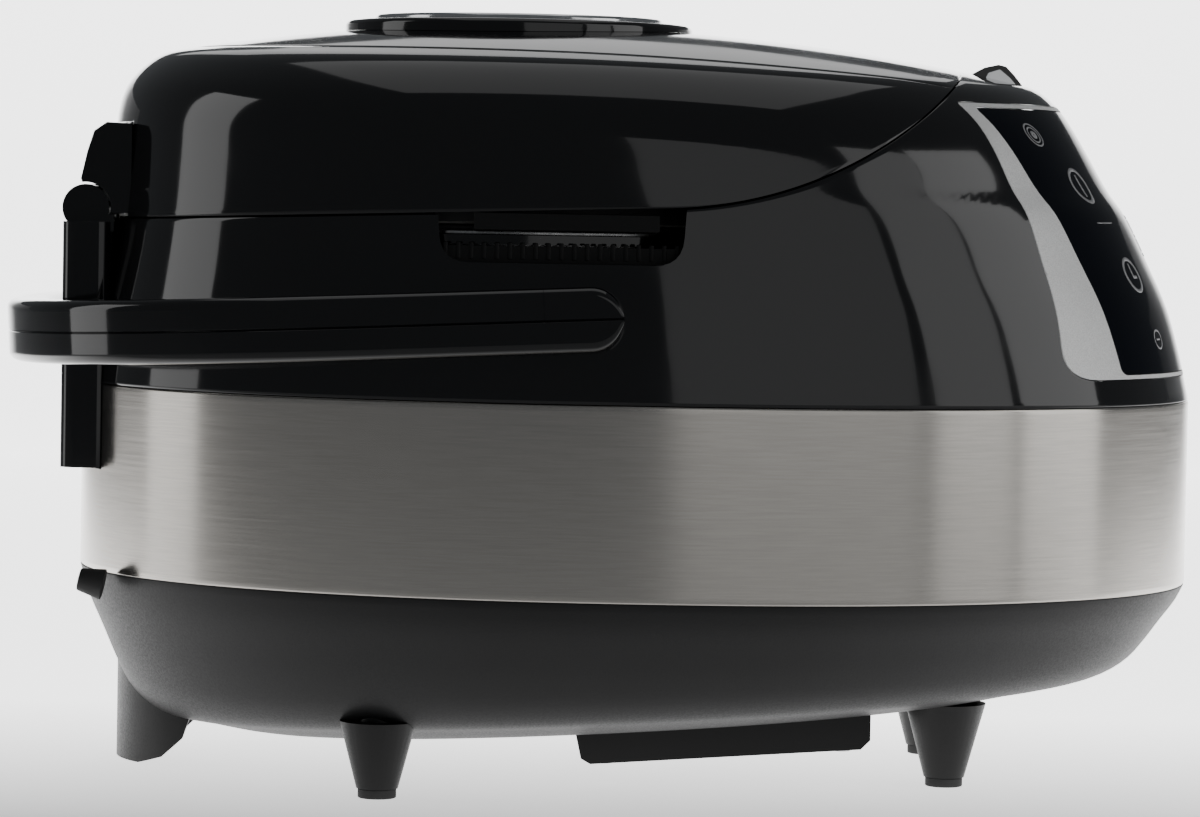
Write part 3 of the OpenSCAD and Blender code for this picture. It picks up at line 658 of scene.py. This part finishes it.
def make_upper_shell():
    skin = thicken(grid("upper_shell_finished", low_lines), WALL)
    panel = duplicate(skin, "panel_skin")
    cut(skin, panel_prism(PANEL_HALF, 0.3 * MM))
    cut(skin, hinge_notch())
    deck = grid("deck", deck_lines(low_lines), wrap=True, recalc=True)
    for side in (-1, 1):
        cut(skin, grip_prism(side, 0.1213))
        inner, outer = sorted((side * 0.1, side * 0.14))
        cut(deck, block((inner, -0.026, DECK_Z), (outer, 0.051, 0.2)))
    low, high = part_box("release_button")
    for piece in (skin, deck):
        cut(piece, block((low.x - BUTTON_SIDE_GAP, low.y - BUTTON_FRONT_GAP, WELL_FLOOR),
                         (high.x + BUTTON_SIDE_GAP, high.y + BUTTON_REAR_GAP, 0.25)))
    cut(deck, hinge_notch())
    # This floor under the button's springs is drawn here only: the part's own shell is open below them.
    pocket = block((low.x - 2 * MM, low.y - 2 * MM, WELL_UNDER), (high.x + 2 * MM, high.y + 3 * MM, WELL_FLOOR),
                   "pocket_floor")
    return join("upper_shell_finished", [skin, deck, pocket]), panel


upper_shell, panel_skin = make_upper_shell()
settle(upper_shell, "root", ["upper_shell"], FINISH["shell_gloss"])

# The bezel gets the pale silver finish: a painted reflection, where the real frame is glossy black.
bezel = cut(duplicate(panel_skin, "panel_bezel_finished"), panel_prism(PANEL_HALF, 0), "INTERSECT")
cut(bezel, panel_prism(GLASS_HALF, -1.2 * MM, 3 * MM))
settle(round_edges(bezel), "root", ["panel_bezel"], FINISH["panel_silver"])
glass = cut(panel_skin, panel_prism(GLASS_HALF, -1.5 * MM, 2.8 * MM), "INTERSECT")
glass.name = "control_glass_finished"
settle(round_edges(glass), "root", ["control_glass"], FINISH["panel_glass"])

lid_side = thicken(grid("lid_side_finished", side_lines), 2.5 * MM)
low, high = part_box("hinge_cover")
cut(lid_side, block((low.x - 0.5 * MM, low.y - 0.3 * MM, 0.17), (high.x + 0.5 * MM, 0.2, 0.2086)))
settle(lid_side, "lid", ["lid_shell"], FINISH["shell_gloss"])

lid_top = thicken(grid("lid_top_finished", top_lines), 2.3 * MM, 0.0006)
CUP_HOLE_R = 0.0323
cup_hole = lathe("cup_hole", [(0.0005, 0.2), (CUP_HOLE_R, 0.2), (CUP_HOLE_R, 0.26), (0.0005, 0.26)],
                 (0, BOWL_Y))
cut(lid_top, cup_hole)
settle(lid_top, "lid", ["lid_top_panel"], FINISH["shell_gloss"])


# ---------------------------------------------------------------- band and lower housing
def ring_line(angle, stations):
    """One column through stations of inset and height."""
    return [Vector((*oval_point(angle, inset, inset, inset), z)) for inset, z in stations]


def make_band():
    low, high = band_low_corner.z, band_high_corner.z
    rolled = [(0.5, 0), (0.22, 0.08), (0.06, 0.3), (0, 0.7)]
    stations = [(i * MM, low + z * MM) for i, z in rolled] + [(0, low + 2 * MM), (0, high - 2 * MM)]
    stations += [(i * MM, high - z * MM) for i, z in reversed(rolled)] + [(0.8 * MM, high), (0.8 * MM, low)]
    band = grid("steel_band_finished", [ring_line(a, stations) for a in COLUMN_ANGLES], wrap=True)
    return cut(band, hinge_notch())


def lower_column(angle):
    points = []
    for share, inset in HULL:
        x, y = oval_point(angle, inset * MM, inset * MM, inset * MM)
        low = underside(y)
        points.append(Vector((x, y, low + share * (BAND_LOW - low))))
    for inset in (80, 110, 131):
        x, y = oval_point(angle, inset * MM, inset * MM, inset * MM)
        points.append(Vector((x, y, underside(y))))
    return list(reversed(resample(spline(points, SPLINE_STEPS), HULL_ROWS)))


settle(make_band(), "root", ["steel_band"], FINISH["band_steel"])
hull = grid("lower_housing_finished", [lower_column(a) for a in COLUMN_ANGLES])
hull = thicken(hull, WALL, 0.0004)
low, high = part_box("power_inlet")
cut(hull, block((low.x - 0.2 * MM, 0.1, low.z - 0.2 * MM), (high.x + 0.2 * MM, 0.2, high.z + 0.2 * MM)))
settle(hull, "root", ["lower_housing"], FINISH["housing_matte"])


# ---------------------------------------------------------------- handle
ARM_OUT = 147 * MM
ARM_STRAIGHT = 47 * MM
HANDLE_REACH = 189.7 * MM
HANDLE_POWER = 2.6
HANDLE_H = 19.6 * MM
HANDLE_DROOP = math.radians(2.9)
BAIL_WIDE = (9 * MM, 13.5 * MM)


def bail_point(angle, half, reach):
    c, s = math.cos(angle), max(0.0, math.sin(angle))
    return Vector((half * math.copysign(abs(c) ** (2 / HANDLE_POWER), c),
                   ARM_STRAIGHT + (reach - ARM_STRAIGHT) * s ** (2 / HANDLE_POWER), 0))


def bail_stations(start):
    """Outer and inner points along the bail, with the half height there."""
    half = HANDLE_H / 2
    arm = [start + (ARM_STRAIGHT - start) * i / 24 for i in range(24)]
    if start < 0:
        arm = [-half * math.cos(math.pi / 2 * i / 12) for i in range(12)]
        arm += [ARM_STRAIGHT * i / 24 for i in range(24)]
    right = []
    for y in arm:
        h = half if y >= 0 else math.sqrt(max(half ** 2 - y ** 2, 1e-9))
        right.append((Vector((ARM_OUT, y, 0)), Vector((ARM_OUT - BAIL_WIDE[0], y, 0)), h))
    bend = [(bail_point(math.pi * i / 120, ARM_OUT, HANDLE_REACH),
             bail_point(math.pi * i / 120, ARM_OUT - BAIL_WIDE[0], HANDLE_REACH - BAIL_WIDE[1]), half)
            for i in range(121)]
    left = [(Vector((-a.x, a.y, 0)), Vector((-b.x, b.y, 0)), h) for a, b, h in reversed(right)]
    return right + bend + left


def bail_half(name, start, side, stations=None):
    """The upper (side 1) or lower (side -1) half of the bail, its long edges rounded."""
    bm = bmesh.new()
    tilt = Matrix.Translation(PIVOT) @ Matrix.Rotation(-HANDLE_DROOP, 4, "X")
    rings = []
    for outer, inner, h in stations or bail_stations(start):
        across = outer - inner
        wide = across.length
        across.normalize()
        r = min(2.8 * MM, h * 0.7)
        parting, chamfer = 0.06 * MM, 0.35 * MM
        flat = max(h - r, parting + chamfer)
        turns = [math.pi / 2 * i / 6 for i in range(7)]
        corner = [(r - r * math.cos(t), flat + r * math.sin(t)) for t in turns]
        half = [(chamfer, parting), (0, parting + chamfer), (0, parting + 1.6 * chamfer)]
        half += [(0, max(flat - 0.5 * MM, parting + 1.7 * chamfer))] + corner + [(r + 0.5 * MM, flat + r)]
        section = half + [(wide - u, w) for u, w in reversed(half)]
        rings.append([bm.verts.new(tilt @ (inner + across * u + Vector((0, 0, side * w)))) for u, w in section])
    for a, b in zip(rings, rings[1:]):
        for k in range(len(a)):
            m = (k + 1) % len(a)
            bm.faces.new((a[k], b[k], b[m], a[m]))
    bm.faces.new(rings[0])
    bm.faces.new(list(reversed(rings[-1])))
    return finish_mesh(name, bm)


def handle_ends():
    """The rounded ends of the upper half, up to where the cover begins."""
    stop = 13.95 * MM
    short = [s for s in bail_stations(-1) if s[0].y < stop]
    count = len(short) // 2
    edge = (Vector((ARM_OUT, stop, 0)), Vector((ARM_OUT - BAIL_WIDE[0], stop, 0)), HANDLE_H / 2)
    mirror = (Vector((-ARM_OUT, stop, 0)), Vector((-ARM_OUT + BAIL_WIDE[0], stop, 0)), HANDLE_H / 2)
    return [bail_half("end_right", 0, 1, short[:count] + [edge]),
            bail_half("end_left", 0, 1, [mirror] + short[count:])]


handle = join("carry_handle_finished", [bail_half("lower_half", -1, -1)] + handle_ends())
settle(handle, "handle", ["carry_handle"], FINISH["shell_gloss"])
cover = bail_half("handle_cover_finished", 14.05 * MM, 1)
settle(cover, "handle", ["handle_cover"], FINISH["shell_gloss"])


# ---------------------------------------------------------------- chrome inlay through the button's sides
INLAY = [(-120.5, 224.0), (-123.6, 230.0), (-127.4, 231.2), (-130.6, 228.6), (-133.6, 225.2), (-131.0, 223.4)]
low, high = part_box("release_button")
inlay = prism("button_inlay", rounded([(y * MM, z * MM) for y, z in INLAY], 0.8 * MM), "X",
              low.x - 0.25 * MM, high.x + 0.25 * MM)
settle(round_edges(inlay, 0.0002), "button", [], FINISH["chrome_trim"])


# ---------------------------------------------------------------- steam vent
def make_vent():
    disc = [(0.0001, 0), (0.0440, -0.9), (0.0444, -1.1), (0.0444, -2), (0.0477, -2), (0.0477, -1.1),
            (0.0480, -0.95), (0.0556, -1.7), (0.0562, -1.95), (0.0568, -2.6), (0.0570, -3.2),
            (0.0570, -8), (0.0001, -8)]
    cap = lathe("vent_cap", [(r, VENT_TOP + z * MM) for r, z in disc], (0, BOWL_Y), 160)
    solid = grid("lid_form", columns)
    bm = bmesh.new()
    bm.from_mesh(solid.data)
    bmesh.ops.holes_fill(bm, edges=bm.edges)
    bm.to_mesh(solid.data)
    bm.free()
    solid.location.z = 0.1 * MM
    bpy.context.view_layer.update()
    cut(cap, solid)
    for i in range(-3, 4):
        x = 5.2 * MM * i
        cut(cap, block((x - 1.4 * MM, BOWL_Y - 0.020, VENT_TOP - 2.2 * MM),
                       (x + 1.4 * MM, BOWL_Y - 0.006, VENT_TOP + 1 * MM)))
    r = 27.6 * MM
    bore = r - 1.8 * MM
    spigot = lathe("spigot", [(r, 0.2415), (r, 0.205), (bore, 0.205), (bore, 0.2415)], (0, BOWL_Y))
    return join("vent_cover_finished", [round_edges(cap, 0.0002), spigot])


settle(make_vent(), "vent", ["vent_cover"], FINISH["shell_gloss"])
ring_low, ring_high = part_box("vent_ring")
RING = [(44.7, 0), (44.7, 1.4), (44.9, 1.9), (45.4, 2.2), (46.0, 2.25), (46.6, 2.2), (47.1, 1.8), (47.4, 1.2),
        (47.4, 0)]
ring_profile = [(r * MM, ring_low.z + min(z * MM, ring_high.z - ring_low.z)) for r, z in RING]
ring = lathe("vent_ring_finished", ring_profile, (0, BOWL_Y), 160)
settle(ring, "vent", ["vent_ring"], FINISH["chrome_trim"])


# ---------------------------------------------------------------- bowl
def wall_section(outline, wall):
    """A closed section: an outline of radius and height, and the same line moved in by the wall."""
    inner = []
    for i, p in enumerate(outline):
        a, b = Vector(outline[max(0, i - 1)]), Vector(outline[min(len(outline) - 1, i + 1)])
        along = (b - a).normalized()
        inner.append((max(0.0001, p[0] - along.y * wall), p[1] + along.x * wall))
    return outline + list(reversed(inner))


def make_bowl():
    r, base, corner, wall = 0.111, bowl_low.z, 0.024, 1.8 * MM
    rim = bowl_high.z
    outline = [(0.0001, base), (0.04, base), (r - corner, base)]
    outline += [(r - corner + corner * math.sin(t), base + corner - corner * math.cos(t))
                for t in [math.pi / 2 * i / 14 for i in range(1, 15)]]
    outline += [(r, rim - 6 * MM), (r, rim - 1.6 * MM)]
    inner = wall_section(outline, wall)[len(outline):]
    lip = [(r + 0.2 * MM, rim - 1.5 * MM), (r + 3.7 * MM, rim - 1.5 * MM), (r + 4 * MM, rim - 1.0 * MM),
           (r + 3.9 * MM, rim - 0.3 * MM), (r + 3.4 * MM, rim), (r, rim), (r - 1.2 * MM, rim - 0.3 * MM)]
    return lathe("bowl_finished", outline + lip + inner, (0, BOWL_Y), 160, 40)


settle(make_bowl(), "root", ["bowl"], FINISH["bowl_coating"])


# ---------------------------------------------------------------- repeated details
def instancer(name, points_node, settings, shape_node, shape_settings, finish):
    """A Geometry Nodes tree: one small shape on every point of a row or a ring, made into plain mesh."""
    tree = bpy.data.node_groups.new(name, "GeometryNodeTree")
    tree.interface.new_socket("Geometry", in_out="OUTPUT", socket_type="NodeSocketGeometry")
    for label, value in {**settings, **shape_settings}.items():
        kind = {int: "NodeSocketInt", float: "NodeSocketFloat"}.get(type(value), "NodeSocketVector")
        tree.interface.new_socket(label, in_out="INPUT", socket_type=kind)
    group_in, group_out = tree.nodes.new("NodeGroupInput"), tree.nodes.new("NodeGroupOutput")
    points, shape = tree.nodes.new(points_node), tree.nodes.new(shape_node)
    for label in settings:
        tree.links.new(group_in.outputs[label], points.inputs[label])
    for label in shape_settings:
        tree.links.new(group_in.outputs[label], shape.inputs[label])
    place = tree.nodes.new("GeometryNodeInstanceOnPoints")
    realize = tree.nodes.new("GeometryNodeRealizeInstances")
    paint = tree.nodes.new("GeometryNodeSetMaterial")
    paint.inputs["Material"].default_value = finish
    tree.links.new(points.outputs["Mesh"], place.inputs["Points"])
    tree.links.new(shape.outputs["Mesh"], place.inputs["Instance"])
    tree.links.new(place.outputs["Instances"], realize.inputs["Geometry"])
    tree.links.new(realize.outputs["Geometry"], paint.inputs["Geometry"])
    tree.links.new(paint.outputs["Geometry"], group_out.inputs["Geometry"])
    piece = new_piece(name, bpy.data.meshes.new(name))
    modifier = piece.modifiers.new("repeat", "NODES")
    modifier.node_group = tree
    values = {**settings, **shape_settings}
    for item in tree.interface.items_tree:
        if item.in_out == "INPUT":
            modifier[item.identifier] = values[item.name]
    piece.update_tag()
    bpy.context.view_layer.update()
    apply_modifiers(piece)
    return piece


for side, label in ((-1, "left"), (1, "right")):
    ribs = instancer("grip_ribs_" + label, "GeometryNodeMeshLine",
                     {"Count": 19, "Start Location": (side * 122.6 * MM, -0.0225, 0.1707),
                      "Offset": (0.0, 3.9 * MM, 0.0)},
                     "GeometryNodeMeshCube", {"Size": (1.6 * MM, 1.5 * MM, 5.2 * MM)}, FINISH["trim_black"])
    settle(round_edges(ribs, 0.00035), "root", [], FINISH["trim_black"])


# ---------------------------------------------------------------- prints on the glass
PRINT_LIFT = 0.12 * MM


def on_glass(x, z):
    """The place and the outward direction of a point of the glass seen from the front."""
    hit, normal, _, _ = surface.ray_cast(Vector((x, -0.4, z)), Vector((0, 1, 0)))
    if normal.y > 0:
        normal = -normal
    return hit, normal


def print_piece(name, strips, finish):
    """Thin prints: each strip is a row of (left, right) pairs of points, closed where asked."""
    bm = bmesh.new()
    for strip, closed in strips:
        rows = []
        for pair in strip:
            row = []
            for x, z in pair:
                hit, normal = on_glass(x * MM, z * MM)
                row.append(bm.verts.new(hit + normal * PRINT_LIFT))
            rows.append(row)
        for i in range(len(rows) if closed else len(rows) - 1):
            a, b = rows[i], rows[(i + 1) % len(rows)]
            bm.faces.new((a[0], a[1], b[1], b[0]))
    piece = finish_mesh(name, bm, 0.000005, recalc=False)
    bm = bmesh.new()
    bm.from_mesh(piece.data)
    for face in bm.faces:
        if face.normal.y > 0:
            face.normal_flip()
    bm.to_mesh(piece.data)
    bm.free()
    solid = piece.modifiers.new("ink", "SOLIDIFY")
    solid.thickness = 0.06 * MM
    solid.offset = -1
    apply_modifiers(piece)
    return settle(piece, "root", [], finish)


def ring_strip(x, z, outer, inner, steps=48):
    """A closed ring between two radii."""
    rows = []
    for i in range(steps):
        a = 2 * math.pi * i / steps
        rows.append(tuple((x + r * math.cos(a), z + r * math.sin(a)) for r in (outer, inner)))
    return rows, True


def bar_strip(x0, z0, x1, z1, wide, steps=6):
    along = Vector((x1 - x0, z1 - z0))
    side = Vector((-along.y, along.x)).normalized() * wide / 2
    rows = []
    for i in range(steps + 1):
        p = Vector((x0, z0)) + along * i / steps
        rows.append(((p.x + side.x, p.y + side.y), (p.x - side.x, p.y - side.y)))
    return rows, False


def panel_icons():
    strips = []
    for mirror in (-1, 1):
        power_x, clock_x = mirror * 56.0, mirror * 53.0
        strips += [ring_strip(power_x, 193.8, 5.6, 4.5), ring_strip(clock_x, 165.8, 5.6, 4.5)]
        strips += [bar_strip(power_x, 197.2, power_x, 190.4, 0.9)]
        strips += [bar_strip(clock_x, 169.4, clock_x, 165.2, 0.9),
                   bar_strip(clock_x - 0.4, 165.2, clock_x + 2.8, 165.2, 0.9)]
        strips += [bar_strip(power_x - 5.5, 182.2, power_x + 5.5, 182.2, 0.35)]
        strips += [ring_strip(mirror * 51.0, 145.5, 3.2, 2.6),
                   bar_strip(mirror * 51 - 1.5, 145.5, mirror * 51 + 1.5, 145.5, 0.6)]
    strips += [ring_strip(-67, 209.5, outer, inner) for outer, inner in ((3.6, 3.15), (2.5, 2.1), (1.2, 0.2))]
    return strips


def segment_digit(x, z, high=12.0):
    """An unlit seven-bar digit."""
    w, h = high * 0.5, high / 2
    bars = [((0, 2 * h), (w, 2 * h)), ((0, h), (w, h)), ((0, 0), (w, 0)),
            ((0, h), (0, 2 * h)), ((w, h), (w, 2 * h)), ((0, 0), (0, h)), ((w, 0), (w, h))]
    out = []
    for (x0, z0), (x1, z1) in bars:
        inset = Vector((x1 - x0, z1 - z0)).normalized() * 0.9
        out.append(bar_strip(x + x0 + inset.x, z + z0 + inset.y, x + x1 - inset.x, z + z1 - inset.y, 1.1, 3))
    return out


print_piece("panel_icons", panel_icons(), ICON)
digits = []
for place in (-22, -11, 5, 16):
    digits += segment_digit(place, 172)
digits += [ring_strip(0, 180.5, 0.7, 0.1, 12), ring_strip(0, 175.5, 0.7, 0.1, 12)]
print_piece("display_digits", digits, SEGMENT)

# ---------------------------------------------------------------- everything else, finished from the model
BEVELS = {
    "hinge_housing": 0.0009, "hinge_cover": 0.0008, "condensate_cup": 0.0006, "bottom_cover": 0.0008,
    "front_feet": 0.0005, "rear_feet": 0.0005, "foot_pads": 0.0004, "rear_stand": 0.0005,
    "rear_bumpers": 0.0004, "grip_liners": 0.0003, "bowl_grips": 0.0006, "power_inlet": 0.0005,
    "inlet_pins": 0.0003, "handle_pivots": 0.0004, "release_button": 0.0006, "button_trim": 0.0002,
    "lid_liner": 0, "inner_lid_plate": 0.0003, "lid_gasket": 0, "valve_cup": 0.0004,
    "lid_hinge_arms": 0.0004, "lid_screws": 0.0003, "lid_strike": 0.0003, "lid_sensor": 0.0003,
    "vent_valve": 0.0003, "rim_ring": 0.0003, "heating_plate": 0.0005, "heat_shield": 0,
    "bowl_sensor": 0.0005, "hinge_pin": 0.0003, "latch_hook": 0.0003, "latch_bracket": 0.0002,
    "latch_pin": 0.0002, "base_screws": 0.0003, "side_heater": 0, "heater_tube": 0,
    "heater_posts": 0.0002, "thermal_fuse": 0.0002, "display_module": 0.0003, "control_board": 0.0002,
    "power_board": 0.0002, "power_parts": 0.0005, "hinge_springs": 0,
}
bodies = {node: body for body, members in frame["record"]["behaviour"]["bodies"].items() for node in members}
slots = {part["node"]: part["material_slot"] for part in frame["record"]["subparts"]}
for node, width in BEVELS.items():
    settle(weigh_normals(refined(node, width)), bodies[node], [node], FINISH[slots[node]])

# The plunger springs shorten as their joints move; here each coil is a finished copy that stays with the root,
# and the joint and travel listed for it are not used.
SPRINGS = {"button_spring": ("button_press", 0.003), "sensor_spring": ("sensor_plunge", 0.002)}
for node, (joint, travel) in SPRINGS.items():
    low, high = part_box(node)
    coil = refined(node, 0)
    settle(weigh_normals(coil), "root", [node], FINISH[slots[node]])
    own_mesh(coil)


# ---------------------------------------------------------------- studio
def stage_material(name, tint, glow):
    """Pale paper that glows more and more towards the backdrop, so the far side reads as white."""
    mat = material(name, tint, 0.85)
    shade = add_noise(mat, 3, detail=3)
    vary_colour(mat, shade, tuple(c * 0.985 for c in tint), tint)
    tree = mat.node_tree
    shader = tree.nodes["Principled BSDF"]
    shader.inputs["Emission Color"].default_value = (1, 1, 1, 1)
    coords, parts = tree.nodes.new("ShaderNodeTexCoord"), tree.nodes.new("ShaderNodeSeparateXYZ")
    tree.links.new(coords.outputs["Object"], parts.inputs["Vector"])
    reach = tree.nodes.new("ShaderNodeMapRange")
    reach.inputs["From Min"].default_value = -0.24
    reach.inputs["From Max"].default_value = 0.15
    reach.inputs["To Max"].default_value = glow
    tree.links.new(parts.outputs["X"], reach.inputs["Value"])
    aside = tree.nodes.new("ShaderNodeMath")
    aside.operation = "ABSOLUTE"
    tree.links.new(parts.outputs["Y"], aside.inputs[0])
    fade = tree.nodes.new("ShaderNodeMapRange")
    fade.interpolation_type = "SMOOTHSTEP"
    fade.inputs["From Min"].default_value = 0.5
    fade.inputs["From Max"].default_value = 1.2
    fade.inputs["To Min"].default_value = 1.0
    fade.inputs["To Max"].default_value = 0.0
    tree.links.new(aside.outputs["Value"], fade.inputs["Value"])
    both = tree.nodes.new("ShaderNodeMath")
    both.operation = "MULTIPLY"
    tree.links.new(reach.outputs["Result"], both.inputs[0])
    tree.links.new(fade.outputs["Result"], both.inputs[1])
    tree.links.new(both.outputs["Value"], shader.inputs["Emission Strength"])
    return mat


def make_sweep():
    """A pale floor that curves up into a low backdrop, away from the camera."""
    profile = [(-1.6, 0.0), (-0.4, 0.0), (0.3, 0.0), (1.6, 0.0)]
    turns = [math.pi / 2 * i / 24 for i in range(1, 25)]
    profile += [(1.6 + 0.4 * math.sin(t), 0.4 - 0.4 * math.cos(t)) for t in turns]
    profile += [(2.0, 0.62)]
    bm = bmesh.new()
    rows = [[bm.verts.new((x, y, z)) for x, z in profile] for y in (-2.2, 2.2)]
    for k in range(len(profile) - 1):
        bm.faces.new((rows[0][k], rows[0][k + 1], rows[1][k + 1], rows[1][k]))
    floor = finish_mesh("studio_floor", bm, recalc=False)
    floor.data.materials.append(stage_material("floor_pale", (0.86, 0.86, 0.86), 3.0))
    return floor


def softbox(name, place, target, size, power):
    lamp = bpy.data.lights.new(name, "AREA")
    lamp.shape = "RECTANGLE"
    lamp.size, lamp.size_y = size
    lamp.energy = power
    holder = bpy.data.objects.new(name, lamp)
    bpy.context.scene.collection.objects.link(holder)
    holder.location = place
    holder.rotation_euler = (Vector(target) - Vector(place)).to_track_quat("-Z", "Y").to_euler()


make_sweep()
world = bpy.data.worlds.new("studio")
world.use_nodes = True
world.node_tree.nodes["Background"].inputs["Color"].default_value = (0.9, 0.95, 1, 1)
world.node_tree.nodes["Background"].inputs["Strength"].default_value = 0.1
bpy.context.scene.world = world
softbox("rear_side_box", (-0.03, 1.45, 0.42), (-0.08, 0.1, 0.16), (0.5, 1.3), 2.7)
softbox("front_side_box", (-0.95, -1.3, 0.45), (-0.05, -0.1, 0.14), (0.5, 1.2), 1.7)
softbox("front_fill", (-2.1, -0.9, 0.5), (-0.05, -0.05, 0.14), (1.6, 1.2), 2.6)
softbox("front_box", (-0.38, -1.65, 0.5), (0, -0.1, 0.12), (0.75, 1.3), 4.2)
softbox("top_box", (0.1, 0.0, 1.5), (0, 0, 0.2), (1.3, 1.3), 2.6)
softbox("high_back_box", (1.6, 0.05, 1.0), (0, 0, 0.2), (1.0, 0.5), 1.2)

CAMERA_AT = Vector((-1.477, 0, 0.1905))
CAMERA_PITCH = math.radians(2.83)
CAMERA_ROLL = math.radians(1.09)
LENS_MM = 134.25


def make_camera():
    camera = bpy.data.cameras.new("main_camera")
    camera.sensor_width = 36
    camera.lens = LENS_MM
    holder = bpy.data.objects.new("main_camera", camera)
    bpy.context.scene.collection.objects.link(holder)
    forward = Vector((math.cos(CAMERA_PITCH), 0, -math.sin(CAMERA_PITCH)))
    right = Vector((0, -1, 0))
    up = right.cross(forward)
    tilt_right = right * math.cos(CAMERA_ROLL) + up * math.sin(CAMERA_ROLL)
    tilt_up = up * math.cos(CAMERA_ROLL) - right * math.sin(CAMERA_ROLL)
    turn = Matrix((tilt_right, tilt_up, -forward)).transposed().to_4x4()
    holder.matrix_world = Matrix.Translation(CAMERA_AT) @ turn
    bpy.context.scene.camera = holder


make_camera()
